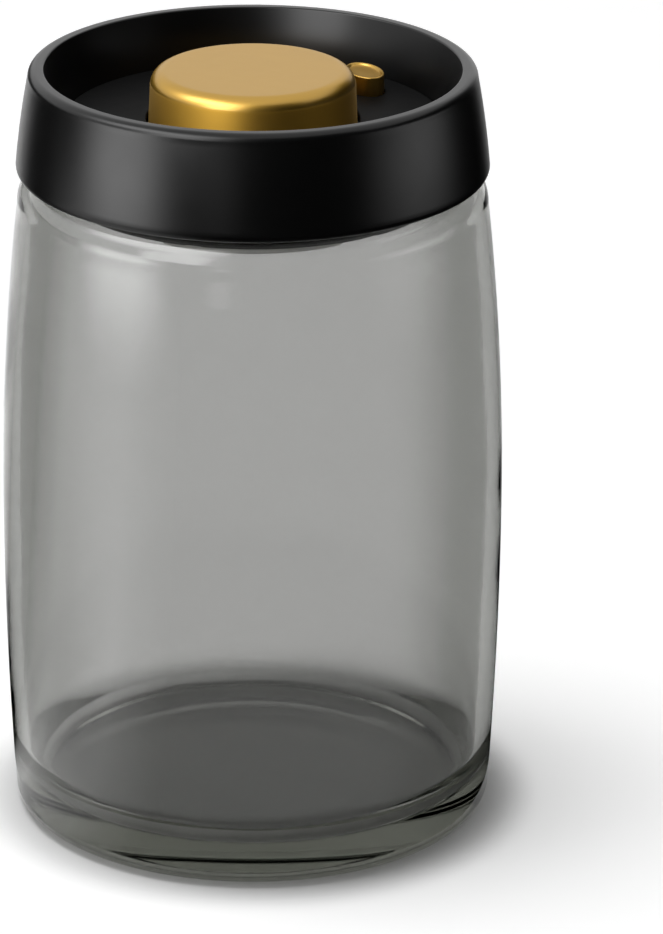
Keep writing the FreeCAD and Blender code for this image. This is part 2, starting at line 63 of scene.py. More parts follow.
jar_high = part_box("glass_jar")[1]
collar_low, collar_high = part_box("lid_collar")
deck_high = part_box("lid_deck")[1]
gasket_low, gasket_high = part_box("lid_gasket")
oring_low, oring_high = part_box("cylinder_seal")
umbrella_low, umbrella_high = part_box("intake_valve")
felt_low, felt_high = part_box("intake_filter")
cover_low, cover_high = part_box("filter_cover")
knob_low, knob_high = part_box("pump_knob")
seal_low, seal_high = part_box("piston_seal")
flap_low, flap_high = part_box("exhaust_valve")
plug_low, plug_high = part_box("release_plug")
button_low, button_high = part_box("release_button")
pump_spring_low, pump_spring_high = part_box("pump_spring")
release_spring_low, release_spring_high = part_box("release_spring")
lid_screw_low, lid_screw_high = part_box("lid_screws")
ear_screw_low, ear_screw_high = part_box("cylinder_screws")
piston_screw_low, piston_screw_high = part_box("piston_screw")

release_place = (plug_low + plug_high) / 2

# Steps along the roundings and sides of the outlines
ROUND_STEPS = 6
INNER_SHOULDER_STEPS = 10
SHOULDER_STEPS = 12
HEEL_STEPS = 14
LOW_SIDE_STEPS = 24
SIDE_STEPS = 26
COLLAR_FOOT_STEPS = 10
COLLAR_TOP_STEPS = 12
COLLAR_SIDE_STEPS = 20
KNOB_STEPS = 16
DOME_STEPS = 10

# Segments round the small turned pieces
SMALL_SEGMENTS = 96
DISC_SEGMENTS = 128
RING_SEGMENTS = 160
WIRE_SIDES = 24

# Edges that bend more than this stay sharp
SHARP = math.radians(40)
SCREW_SHARP = math.radians(38)
WIRE_SHARP = math.radians(60)

# Points nearer than this are made one
MERGE_DISTANCE = 1e-6

# Share of a rounding's radius at which a guard point stands beside it
GUARD = 0.2

# The upward share of the normal on an upright face is under this
UPRIGHT = 0.2

SENSOR_WIDTH = 36.0

# Where each lamp stands, seen from the lid. Azimuth 0 is the camera's side and positive to its right, in
# degrees. A lamp's light fades over the soft share of its size.
LAMPS = {
    "key": dict(azimuth=-39.0, elevation=20.0, distance=2.2, width=1.6, height=1.2, soft=0.25),
    "high": dict(azimuth=-60.0, elevation=47.0, distance=1.4, width=2.2, height=1.0, soft=0.35),
    "strip": dict(azimuth=-62.0, elevation=-3.0, distance=0.45, width=0.46, height=0.24, soft=0.4),
    "top": dict(azimuth=-88.0, elevation=76.0, distance=2.2, width=1.2, height=1.2, soft=0.25, matt=True),
    "fill": dict(azimuth=82.0, elevation=-3.0, distance=0.45, width=0.58, height=0.24, soft=0.5),
}

# Dark cards that lie on the floor or stand round the jar, each between two (radius, height) places and two
# directions. Each end of a card fades over some degrees.
CARD_RADIUS = 0.9
FLOOR_CARD = dict(near=(0.052, 0.0004), far=(CARD_RADIUS, 0.0004))
CARD_FOOT = (CARD_RADIUS, 0.0)
CARDS = {
    "floor": dict(**FLOOR_CARD, start=-58.0, end=172.0, fade=24.0),
    "side": dict(**FLOOR_CARD, start=205.0, end=270.0, fade=20.0),
    "front": dict(near=CARD_FOOT, far=(CARD_RADIUS, 1.4), start=-16.0, end=72.0, fade=10.0),
    "low": dict(near=CARD_FOOT, far=(CARD_RADIUS, 0.24), start=-55.0, end=-14.0, fade=10.0),
    "left": dict(near=CARD_FOOT, far=(CARD_RADIUS, 0.25), start=-170.0, end=-86.0, fade=10.0),
    "right": dict(near=CARD_FOOT, far=(CARD_RADIUS, 0.75), start=60.0, end=155.0, fade=10.0),
}


def length(name, description, default):
    return FloatProperty(name=name, description=description, default=default, unit="LENGTH", precision=5)


def turn(name, description, degrees):
    return FloatProperty(name=name, description=description, default=math.radians(degrees), subtype="ANGLE")


def colour(name, description, default):
    return FloatVectorProperty(name=name, description=description, default=(*default, 1.0), size=4,
                               min=0.0, max=1.0, subtype="COLOR")


def plain_number(name, description, default):
    return FloatProperty(name=name, description=description, default=default, min=0.0)


def count(name, description, default):
    return IntProperty(name=name, description=description, default=default, min=1)


class JarSizes(bpy.types.PropertyGroup):
    """Sizes of the glass jar"""

    belly_radius: length("Belly radius", "Widest radius of the glass", jar_high.x)
    belly_height: length("Belly height", "Height of the widest place", 0.064)
    heel_radius: length("Heel radius", "Radius just above the rounded heel", 0.0482)
    heel_round: length("Heel round", "Rounding between the side and the foot", 0.004)
    shoulder_radius: length("Shoulder radius", "Radius under the shoulder", 0.0464)
    shoulder_height: length("Shoulder height", "Height where the shoulder starts", 0.127)
    shoulder_round: length("Shoulder round", "Rounding of the shoulder", 0.007)
    wall: length("Wall", "Thickness of the side", 0.0032)
    floor: length("Floor", "Thickness of the base", 0.007)
    inner_heel_round: length("Inner heel round", "Rounding between the inner side and the floor", 0.009)
    foot_land: length("Foot land", "Width of the ring that the jar stands on", 0.008)
    foot_edge: length("Foot edge", "Rounding on the inner edge of that ring", 0.0008)
    push_up: length("Push-up", "Height of the hollow under the base", 0.001)
    neck_wall: length("Neck wall", "Thickness of the neck", 0.0029)
    lip_round: length("Lip round", "Rounding of the neck's lip", 0.0008)
    waves: length("Waves", "How far the moulded inner face wanders", 0.00012)
    wave_size: length("Wave size", "Size of one wave on the inner face", 0.03)
    segments: count("Segments", "Steps around the jar", 224)


class LidSizes(bpy.types.PropertyGroup):
    """Sizes of the lid's collar, gasket and screws"""

    foot_radius: length("Foot radius", "Radius at the collar's foot", collar_high.x)
    top_radius: length("Top radius", "Radius at the collar's top", 0.044)
    crown: length("Crown", "How far the collar's side swells", 0.00022)
    wall: length("Wall", "Thickness of the collar's skirt", 0.002)
    foot_round: length("Foot round", "Rounding at the collar's foot", 0.0015)
    top_round: length("Top round", "Rounding at the collar's top", 0.0017)
    rim_radius: length("Rim radius", "Radius of the recess at the top", 0.0409)
    rim_round: length("Rim round", "Rounding on the rim's inner edge", 0.0004)
    recess_radius: length("Recess radius", "Radius of the recess at the deck", 0.0372)
    inner_wall: length("Inner wall", "Thickness of the recess wall", 0.0019)
    solid_rim: length("Solid rim", "Height of the rim above the hollow of the collar", 0.0056)
    lip: length("Lip", "Thickness of the lip that the deck clamps", 0.0014)
    lip_width: length("Lip width", "How far that lip reaches inwards", 0.0022)
    deck_thickness: length("Deck thickness", "Thickness of the deck", 0.0016)
    hidden_round: length("Hidden round", "Rounding on moulded edges that nobody touches", 0.00025)
    gasket_bore: length("Gasket bore", "Inner radius of the gasket", 0.03735)
    gasket_wall: length("Gasket wall", "Thickness of the gasket's sleeve", 0.0008)
    gasket_flange: length("Gasket flange", "Thickness of the gasket's flange", 0.001)
    gasket_lip_radius: length("Gasket lip radius", "Radius at the tips of the lips", 0.03915)
    gasket_lip_height: length("Gasket lip height", "Height of one lip at its root", 0.0014)
    gasket_lip_step: length("Gasket lip step", "Height from one lip to the next", 0.0021)
    gasket_lips: count("Gasket lips", "Number of lips", 2)
    oring_wire: length("O-ring wire", "Wire radius of the cylinder's O-ring", 0.0006)
    segments: count("Segments", "Steps around the lid", 224)


class PumpSizes(bpy.types.PropertyGroup):
    """Sizes of the knob, the valves and the pump's spring"""

    knob_radius: length("Knob radius", "Radius at the knob's foot", knob_high.x)
    knob_top_radius: length("Knob top radius", "Radius that the knob's side would have at its top", 0.02)
    knob_round: length("Knob round", "Rounding along the top edge", 0.003)
    knob_foot_round: length("Knob foot round", "Rounding along the foot", 0.00025)
    knob_roof: length("Knob roof", "Thickness of the top", 0.0015)
    knob_bore: length("Knob bore", "Inner radius", 0.0184)
    knob_bore_round: length("Knob bore round", "Rounding inside the top", 0.0015)
    knob_segments: count("Knob segments", "Steps around the knob", 224)
    stem: length("Valve stem", "Radius of the umbrella valve's stem", 0.001)
    bulb: length("Valve bulb", "Radius of the bulb that holds the valve", 0.0017)
    bulb_length: length("Bulb length", "Height of the bulb", 0.0011)
    umbrella: length("Umbrella height", "Height of the umbrella", 0.0012)
    umbrella_edge: length("Umbrella edge", "Thickness of the umbrella at its edge", 0.0004)
    soft_round: length("Soft round", "Rounding on small rubber edges", 0.0002)
    felt_round: length("Felt round", "Rounding on the felt's edges", 0.00035)
    flap_bore: length("Flap bore", "Inner radius of the exhaust flap", 0.0091)
    seal_bore: length("Seal bore", "Inner radius of the piston's seal", 0.0132)
    seal_waist: length("Seal waist", "Radius between the seal's two lips", 0.0151)
    hole: length("Hole radius", "Radius of a hole in the filter cover", 0.0008)
    hole_step: length("Hole step", "Distance from one ring of holes to the next", 0.0036)
    hole_rings: count("Hole rings", "Rings of holes round the middle one", 3)
    holes_per_ring: count("Holes per ring", "Holes that each ring has more than the last", 6)
    spring_wire: length("Spring wire", "Wire radius of the pump's spring", 0.0005)
    spring_turns: count("Spring turns", "Turns of the pump's spring", 7)
    coil_gap: length("Coil gap", "Gap between turns at a spring's ends", 0.00045)


class ReleaseSizes(bpy.types.PropertyGroup):
    """Sizes of the release button and its spring"""

    half_length: length("Half length", "Half the oval button's length", 0.0056)
    half_width: length("Half width", "Half the oval button's width", 0.0035)
    turned: turn("Turn", "Direction of the oval's long axis", 112.0)
    rim: length("Rim", "Width of the raised rim", 0.0006)
    rim_round: length("Rim round", "Rounding of the raised rim", 0.00025)
    dish: length("Dish", "Depth of the dished top", 0.00045)
    dish_run: length("Dish run", "Width of the slope into the dish", 0.0006)
    wall: length("Wall", "Thickness of the button's side", 0.001)
    roof: length("Roof", "Thickness of the button's top, rim included", 0.0013)
    plug_bore: length("Plug bore", "Inner radius of the sealing plug", 0.00145)
    plug_round: length("Plug round", "Rounding of the sealing plug", 0.0005)
    spring_wire: length("Spring wire", "Wire radius of the release spring", 0.00025)
    spring_turns: count("Spring turns", "Turns of the release spring", 5)


class ScrewSizes(bpy.types.PropertyGroup):
    """Sizes and places of the screws"""

    shank: length("Shank", "Radius over the thread of the small screws", 0.00115)
    head: length("Head", "Radius of the small screws' heads", 0.0023)
    head_height: length("Head height", "Height of the small screws' heads", 0.00145)
    pitch: length("Pitch", "Rise of the thread in one turn", 0.0009)
    lid_circle: length("Lid screw circle", "Radius that the lid's screws stand on", 0.0315)
    lid_start: turn("First lid screw", "Direction of the first lid screw", 70.6)
    lid_count: count("Lid screws", "Number of lid screws", 6)
    ear_circle: length("Cylinder screw circle", "Radius that the cylinder's screws stand on", 0.0254)
    ear_start: turn("First cylinder screw", "Direction of the first cylinder screw", 100.6)
    ear_count: count("Cylinder screws", "Number of cylinder screws", 3)
    big_shank: length("Piston screw shank", "Radius over the piston screw's thread", 0.0016)
    big_head: length("Piston screw head", "Radius of the piston screw's head", 0.0032)
    big_head_height: length("Piston head height", "Height of the piston screw's head", 0.0021)


class Finishes(bpy.types.PropertyGroup):
    """Colours of the finishes"""

    glass: colour("Glass", "Tint that thick glass takes on", (0.52, 0.53, 0.49))
    glass_density: plain_number("Glass density", "How strongly the glass tints what is behind it", 40.0)
    # Painted shade: the wall's grey is partly the glass's tint and partly shade of the room; it deepens where
    # a wall turns edge on
    glass_wall_tint_and_shade: colour("Glass wall", "Tint of one wall of the glass", (0.63, 0.63, 0.625))
    glass_edge_shade: colour("Glass edge", "Tint of a wall that is seen along its face", (0.40, 0.405, 0.39))
    glass_shade: colour("Glass shade", "Light that the glass lets through to the floor", (0.48, 0.48, 0.48))
    collar: colour("Collar", "Satin black of the collar", (0.0025, 0.0025, 0.0026))
    deck: colour("Deck", "Textured black of the deck", (0.0035, 0.0035, 0.0036))
    base: colour("Base", "Black of the parts under the deck", (0.0160, 0.0160, 0.0165))
    gold: colour("Gold", "Anodised gold of the knob and the button", (0.475, 0.277, 0.040))
    silicone: colour("Silicone", "Milky silicone of the gasket and the valves", (0.760, 0.760, 0.735))
    rubber: colour("Rubber", "Black rubber of the seals", (0.018, 0.018, 0.018))
    nylon: colour("Nylon", "Natural nylon of the pump", (0.730, 0.725, 0.690))
    felt: colour("Felt", "Felt of the filter", (0.600, 0.575, 0.520))
    wire: colour("Wire", "Drawn steel of the springs", (0.520, 0.525, 0.535))
    zinc: colour("Zinc", "Zinc plate of the screws", (0.620, 0.630, 0.640))


class StageSettings(bpy.types.PropertyGroup):
    """Camera, lamps and floor"""

    distance: length("Distance", "Distance of the camera from the aim point", 1.10116)
    aim_height: length("Aim height", "Height of the aim point on the jar's axis", 0.08)
    elevation: turn("Elevation", "Height of the camera above the horizon", 20.7821)
    pitch: turn("Pitch", "How far the camera looks down", 21.2467)
    yaw: turn("Yaw", "How far the camera looks to the right of the axis", 0.8799)
    roll: turn("Roll", "How far the camera leans about its line of sight", 0.381)
    lens: plain_number("Lens", "Focal length in millimetres on a 36 mm sensor", 212.425)
    floor_radius: length("Floor radius", "Radius of the floor", 6.0)
    floor_gap: length("Floor gap", "How far the floor lies under the foot", 0.0001)
    floor_tone: plain_number("Floor tone", "Share of the light that the floor gives back", 0.80)
    floor_glow: plain_number("Floor glow", "Glow that brings the floor to the white behind it", 0.40)
    # Painted contact shadow: the floor has no glow under the foot, and its glow fades in between these two
    # radii
    painted_shadow_inner: length("Glow start", "Radius where that glow starts, just outside the foot", 0.0475)
    painted_shadow_outer: length("Glow full", "Radius where that glow is full", 0.0600)
    ambient: plain_number("Ambient", "Light from the room on matt surfaces", 0.30)
    key: plain_number("Key", "Brightness of the big lamp at the front left", 4.5)
    high: plain_number("High", "Brightness of the lamp high at the left", 6.0)
    strip: plain_number("Strip", "Brightness of the lamp at the left", 5.7)
    top: plain_number("Top", "Brightness of the lamp overhead", 12.0)
    fill: plain_number("Fill", "Brightness of the lamp at the right", 2.0)


SETTINGS = {
    "jar": JarSizes,
    "lid": LidSizes,
    "pump": PumpSizes,
    "release": ReleaseSizes,
    "screws": ScrewSizes,
    "finishes": Finishes,
    "stage": StageSettings,
}


def settings(name):
    return getattr(bpy.context.scene, f"canister_{name}")


# Node trees

def open_socket(sockets, key):
    """Socket at an index, or the usable one of that name."""
    if isinstance(key, int):
        return sockets[key]
    return next(s for s in sockets if s.name == key and s.enabled)


def feed(tree, socket, value):
    """Links a socket to an output, or sets its own value."""
    if isinstance(value, bpy.types.NodeSocket):
        tree.links.new(value, socket)
    else:
        socket.default_value = value


def fill(tree, node, values):
    """Links or sets a node's inputs, given by name or index."""
    for key, value in values.items():
        feed(tree, open_socket(node.inputs, key), value)
    return node


def add(tree, kind, inputs=None, **options):
    """New node with its options set first, because they decide which inputs are usable."""
    node = tree.nodes.new(kind)
    for name, value in options.items():
        setattr(node, name, value)
    return fill(tree, node, inputs or {})


def out(node, name=None):
    return open_socket(node.outputs, name) if name else next(s for s in node.outputs if s.enabled)


def math_node(tree, operation, *values):
    return out(add(tree, "ShaderNodeMath", dict(enumerate(values)), operation=operation))


def new_tree(name, kind, inputs, outputs):
    """Node group with named sockets: (name, type, default) in, (name, type) out."""
    tree = bpy.data.node_groups.new(name, kind)
    for label, socket_type, default in inputs:
        socket = tree.interface.new_socket(label, in_out="INPUT", socket_type=socket_type)
        if default is not None:
            socket.default_value = default
    for label, socket_type in outputs:
        tree.interface.new_socket(label, in_out="OUTPUT", socket_type=socket_type)
    return tree, tree.nodes.new("NodeGroupInput"), tree.nodes.new("NodeGroupOutput")


def finish_geometry(tree, leave, geometry, material, sharp):
    """Ends a geometry tree: smooth faces, sharp creases, one material, nothing instanced."""
    smooth = add(tree, "GeometryNodeSetShadeSmooth", {0: geometry, "Shade Smooth": True}, domain="FACE")
    crease = add(tree, "GeometryNodeInputMeshEdgeAngle")
    gentle = add(tree, "FunctionNodeCompare", {"A": out(crease, "Unsigned Angle"), "B": sharp},
                 data_type="FLOAT", operation="LESS_THAN")
    edges = add(tree, "GeometryNodeSetShadeSmooth", {0: out(smooth), "Shade Smooth": out(gentle)},
                domain="EDGE")
    real = add(tree, "GeometryNodeRealizeInstances", {0: out(edges)})
    painted = add(tree, "GeometryNodeSetMaterial", {0: out(real), "Material": material})
    tree.links.new(out(painted), leave.inputs[0])


def turned_tree():
    """Spins a profile of points in the XZ plane about Z. Points marked wavy wander a little in and out."""
    tree, enter, leave = new_tree("Turned piece", "GeometryNodeTree", [
        ("Profile", "NodeSocketGeometry", None),
        ("Segments", "NodeSocketInt", 160),
        ("Waves", "NodeSocketFloat", 0.0),
        ("Wave size", "NodeSocketFloat", 1.0),
        ("Sharp angle", "NodeSocketFloat", SHARP),
        ("Material", "NodeSocketMaterial", None),
    ], [("Geometry", "NodeSocketGeometry")])
    profile, segments = enter.outputs["Profile"], enter.outputs["Segments"]
    points = out(add(tree, "GeometryNodeAttributeDomainSize", {0: profile}, component="MESH"), "Point Count")
    grid = add(tree, "GeometryNodeMeshGrid", {
        "Vertices X": math_node(tree, "ADD", segments, 1.0),
        "Vertices Y": points,
    })
    index = out(add(tree, "GeometryNodeInputIndex"))
    along = math_node(tree, "FLOORED_MODULO", index, points)
    around = math_node(tree, "FLOOR", math_node(tree, "DIVIDE", index, points))

    def sampled(data_type, value):
        return out(add(tree, "GeometryNodeSampleIndex", {"Geometry": profile, "Value": value, "Index": along},
                       data_type=data_type, domain="POINT"))

    spot = sampled("FLOAT_VECTOR", out(add(tree, "GeometryNodeInputPosition")))
    wavy = sampled("FLOAT", out(add(tree, "GeometryNodeInputNamedAttribute", {"Name": "wavy"},
                                    data_type="FLOAT"), "Attribute"))
    angle = math_node(tree, "DIVIDE", math_node(tree, "MULTIPLY", around, math.tau), segments)
    place = out(add(tree, "ShaderNodeVectorRotate", {"Vector": spot, "Angle": angle}, rotation_type="Z_AXIS"))
    noise = add(tree, "ShaderNodeTexNoise", {
        "Vector": place,
        "Scale": math_node(tree, "DIVIDE", 1.0, enter.outputs["Wave size"]),
        "Detail": 1.0,
    })
    push = math_node(tree, "MULTIPLY", math_node(tree, "SUBTRACT", out(noise), 0.5), 2.0)
    push = math_node(tree, "MULTIPLY", math_node(tree, "MULTIPLY", push, enter.outputs["Waves"]), wavy)
    outward = add(tree, "ShaderNodeVectorMath", {0: place, 1: (1.0, 1.0, 0.0)}, operation="MULTIPLY")
    outward = add(tree, "ShaderNodeVectorMath", {0: out(outward)}, operation="NORMALIZE")
    offset = add(tree, "ShaderNodeVectorMath", {0: out(outward), "Scale": push}, operation="SCALE")
    spun = add(tree, "GeometryNodeSetPosition",
               {"Geometry": out(grid), "Position": place, "Offset": out(offset)})
    closed = add(tree, "GeometryNodeMergeByDistance", {"Geometry": out(spun), "Distance": MERGE_DISTANCE})
    finish_geometry(tree, leave, out(closed), enter.outputs["Material"], enter.outputs["Sharp angle"])
    return tree


def wire_tree():
    """Round wire along a path of points."""
    tree, enter, leave = new_tree("Coiled wire", "GeometryNodeTree", [
        ("Path", "NodeSocketGeometry", None),
        ("Wire radius", "NodeSocketFloat", 0.0005),
        ("Sides", "NodeSocketInt", 16),
        ("Material", "NodeSocketMaterial", None),
    ], [("Geometry", "NodeSocketGeometry")])
    path = add(tree, "GeometryNodeMeshToCurve", {0: enter.outputs["Path"]})
    section = add(tree, "GeometryNodeCurvePrimitiveCircle",
                  {"Resolution": enter.outputs["Sides"], "Radius": enter.outputs["Wire radius"]})
    wire = add(tree, "GeometryNodeCurveToMesh",
               {"Curve": out(path), "Profile Curve": out(section), "Fill Caps": True})
    finish_geometry(tree, leave, out(wire), enter.outputs["Material"], WIRE_SHARP)
    return tree


def screws_tree():
    """Copies of one screw on a circle, each with its cross turned its own way."""
    tree, enter, leave = new_tree("Ring of screws", "GeometryNodeTree", [
        ("Geometry", "NodeSocketGeometry", None),
        ("Screw", "NodeSocketObject", None),
        ("Count", "NodeSocketInt", 6),
        ("Circle radius", "NodeSocketFloat", 0.03),
        ("Start angle", "NodeSocketFloat", 0.0),
        ("Height", "NodeSocketFloat", 0.0),
        ("Seed", "NodeSocketInt", 7),
        ("Material", "NodeSocketMaterial", None),
    ], [("Geometry", "NodeSocketGeometry")])
    index = out(add(tree, "GeometryNodeInputIndex"))
    step = math_node(tree, "DIVIDE", math_node(tree, "MULTIPLY", index, math.tau), enter.outputs["Count"])
    angle = math_node(tree, "ADD", step, enter.outputs["Start angle"])
    radius = enter.outputs["Circle radius"]
    place = add(tree, "ShaderNodeCombineXYZ", {
        "X": math_node(tree, "MULTIPLY", radius, math_node(tree, "COSINE", angle)),
        "Y": math_node(tree, "MULTIPLY", radius, math_node(tree, "SINE", angle)),
        "Z": enter.outputs["Height"],
    })
    points = add(tree, "GeometryNodePoints", {"Count": enter.outputs["Count"], "Position": out(place)})
    spin = add(tree, "FunctionNodeRandomValue", {"Max": math.tau, "Seed": enter.outputs["Seed"]},
               data_type="FLOAT")
    screw = add(tree, "GeometryNodeObjectInfo", {"Object": enter.outputs["Screw"]})
    copies = add(tree, "GeometryNodeInstanceOnPoints", {
        "Points": out(points),
        "Instance": out(screw, "Geometry"),
        "Rotation": out(add(tree, "ShaderNodeCombineXYZ", {"Z": out(spin)})),
    })
    real = add(tree, "GeometryNodeRealizeInstances", {0: out(copies)})
    painted = add(tree, "GeometryNodeSetMaterial", {0: out(real), "Material": enter.outputs["Material"]})
    tree.links.new(out(painted), leave.inputs[0])
    return tree


def perforated_tree():
    """Round plate with a hole at each point."""
    tree, enter, leave = new_tree("Perforated plate", "GeometryNodeTree", [
        ("Hole centres", "NodeSocketGeometry", None),
        ("Plate radius", "NodeSocketFloat", 0.013),
        ("Hole radius", "NodeSocketFloat", 0.0008),
        ("Plate sides", "NodeSocketInt", 128),
        ("Hole sides", "NodeSocketInt", 24),
        ("Thickness", "NodeSocketFloat", 0.001),
        ("Height", "NodeSocketFloat", 0.0),
        ("Material", "NodeSocketMaterial", None),
    ], [("Geometry", "NodeSocketGeometry")])
    hole = add(tree, "GeometryNodeCurvePrimitiveCircle",
               {"Resolution": enter.outputs["Hole sides"], "Radius": enter.outputs["Hole radius"]})
    holes = add(tree, "GeometryNodeInstanceOnPoints",
                {"Points": enter.outputs["Hole centres"], "Instance": out(hole)})
    cut = add(tree, "GeometryNodeRealizeInstances", {0: out(holes)})
    edge = add(tree, "GeometryNodeCurvePrimitiveCircle",
               {"Resolution": enter.outputs["Plate sides"], "Radius": enter.outputs["Plate radius"]})
    outline = add(tree, "GeometryNodeJoinGeometry")
    tree.links.new(out(cut), outline.inputs[0])
    tree.links.new(out(edge), outline.inputs[0])
    face = add(tree, "GeometryNodeFillCurve", {"Curve": out(outline)})
    rise = add(tree, "ShaderNodeCombineXYZ", {"Z": 1.0})
    raised = add(tree, "GeometryNodeExtrudeMesh", {
        "Mesh": out(face),
        "Offset": out(rise),
        "Offset Scale": enter.outputs["Thickness"],
        "Individual": False,
    }, mode="FACES")
    under = add(tree, "GeometryNodeFlipFaces", {0: out(face)})
    both = add(tree, "GeometryNodeJoinGeometry")
    tree.links.new(out(raised), both.inputs[0])
    tree.links.new(out(under), both.inputs[0])
    closed = add(tree, "GeometryNodeMergeByDistance", {"Geometry": out(both), "Distance": MERGE_DISTANCE})
    lifted = add(tree, "GeometryNodeTransform", {
        "Geometry": out(closed),
        "Translation": out(add(tree, "ShaderNodeCombineXYZ", {"Z": enter.outputs["Height"]})),
    })
    finish_geometry(tree, leave, out(lifted), enter.outputs["Material"], SHARP)
    return tree


def tree_once(name, build):
    return bpy.data.node_groups.get(name) or build()


# Pieces

def new_object(name, points, edges=()):
    mesh = bpy.data.meshes.new(name)
    mesh.from_pydata(points, edges, [])
    obj = bpy.data.objects.new(name, mesh)
    bpy.context.scene.collection.objects.link(obj)
    return obj


def grow(obj, tree, values):
    """Runs a geometry tree on an object and keeps what it makes as a plain mesh that faces outwards."""
    modifier = obj.modifiers.new(tree.name, "NODES")
    modifier.node_group = tree
    for item in tree.interface.items_tree:
        if item.in_out == "INPUT" and item.name in values:
            modifier[item.identifier] = values[item.name]
    bpy.context.view_layer.update()
    evaluated = obj.evaluated_get(bpy.context.evaluated_depsgraph_get())
    mesh = bpy.data.meshes.new_from_object(evaluated)
    obj.modifiers.clear()
    seed = obj.data
    obj.data = mesh
    bpy.data.meshes.remove(seed)
    mesh.name = obj.name
    mesh.materials.clear()
    mesh.materials.append(values["Material"])
    for face in mesh.polygons:
        face.material_index = 0
    face_outwards(mesh)
    if not mesh.polygons:
        raise RuntimeError(f"{obj.name}: the {tree.name} tree made no faces")
    return obj


def face_outwards(mesh):
    work = bmesh.new()
    work.from_mesh(mesh)
    bmesh.ops.recalc_face_normals(work, faces=work.faces)
    work.to_mesh(mesh)
    work.free()


def settle(obj, body, slot, *nodes):
    """Hands a finished piece to its body, in place of the nodes that it stands for."""
    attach(obj, body)
    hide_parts(*nodes)


def turned(name, profile, material, segments, wavy=(), waves=0.0, wave_size=1.0, place=(0.0, 0.0)):
    """Piece turned from (r, z) points: a closed loop ends where it starts, others end on the axis."""
    edges = [(i, i + 1) for i in range(len(profile) - 1)]
    obj = new_object(name, [(r, 0.0, z) for r, z in profile], edges)
    marks = obj.data.attributes.new("wavy", "FLOAT", "POINT")
    for index in wavy:
        marks.data[index].value = 1.0
    grow(obj, tree_once("Turned piece", turned_tree), {
        "Segments": segments,
        "Waves": waves,
        "Wave size": wave_size,
        "Material": material,
    })
    for vertex in obj.data.vertices:
        vertex.co.x += place[0]
        vertex.co.y += place[1]
    return obj


def arc(start, through, end, steps):
    """Points on the arc from start to end by way of a third point, without the start."""
    (ax, ay), (bx, by), (cx, cy) = start, through, end
    d = 2 * (ax * (by - cy) + bx * (cy - ay) + cx * (ay - by))
    a2, b2, c2 = ax * ax + ay * ay, bx * bx + by * by, cx * cx + cy * cy
    ux = (a2 * (by - cy) + b2 * (cy - ay) + c2 * (ay - by)) / d
    uy = (a2 * (cx - bx) + b2 * (ax - cx) + c2 * (bx - ax)) / d
    radius = math.hypot(ax - ux, ay - uy)
    first = math.atan2(ay - uy, ax - ux)
    sweep = (math.atan2(cy - uy, cx - ux) - first) % math.tau
    middle = (math.atan2(by - uy, bx - ux) - first) % math.tau
    if middle > sweep:
        sweep -= math.tau
    return [
        (ux + radius * math.cos(first + sweep * i / steps), uy + radius * math.sin(first + sweep * i / steps))
        for i in range(1, steps + 1)
    ]


def rounded(corners, steps=ROUND_STEPS):
    """Closed loop through corners (r, z), those with a third number rounded by it.

    Beside each rounding stands a guard point, a share of its radius away, so that flats stay flat."""
    points = []
    for index, corner in enumerate(corners):
        here = Vector(corner[:2])
        if len(corner) < 3:
            points.append(tuple(here))
            continue
        before = (Vector(corners[index - 1][:2]) - here).normalized()
        after = (Vector(corners[(index + 1) % len(corners)][:2]) - here).normalized()
        half = before.angle(after) / 2
        reach = corner[2] / math.tan(half)
        centre = here + (before + after).normalized() * (corner[2] / math.sin(half))
        start, end = here + before * reach, here + after * reach
        through = centre + (here - centre).normalized() * corner[2]
        points.append(tuple(start + before * corner[2] * GUARD))
        points.append(tuple(start))
        points += arc(tuple(start), tuple(through), tuple(end), steps)
        points.append(tuple(end + after * corner[2] * GUARD))
    return points


def loop(corners):
    points = rounded(corners)
    return points + points[:1]


def quarter(centre, start, end, steps):
    """Points on a quarter turn about a centre, without the start."""
    middle = (Vector(start) + Vector(end)) / 2 - Vector(centre)
    reach = (Vector(start) - Vector(centre)).length
    through = Vector(centre) + middle.normalized() * reach
    return arc(start, tuple(through), end, steps)


def bulge(sizes, edge_radius, edge_height, height):
    """Radius at a height on the arc that leaves the belly upright and passes the given edge."""
    rise, drop = edge_height - sizes.belly_height, sizes.belly_radius - edge_radius
    bend = (rise * rise + drop * drop) / (2 * drop)
    away = height - sizes.belly_height
    return sizes.belly_radius - bend + math.sqrt(bend * bend - away * away)


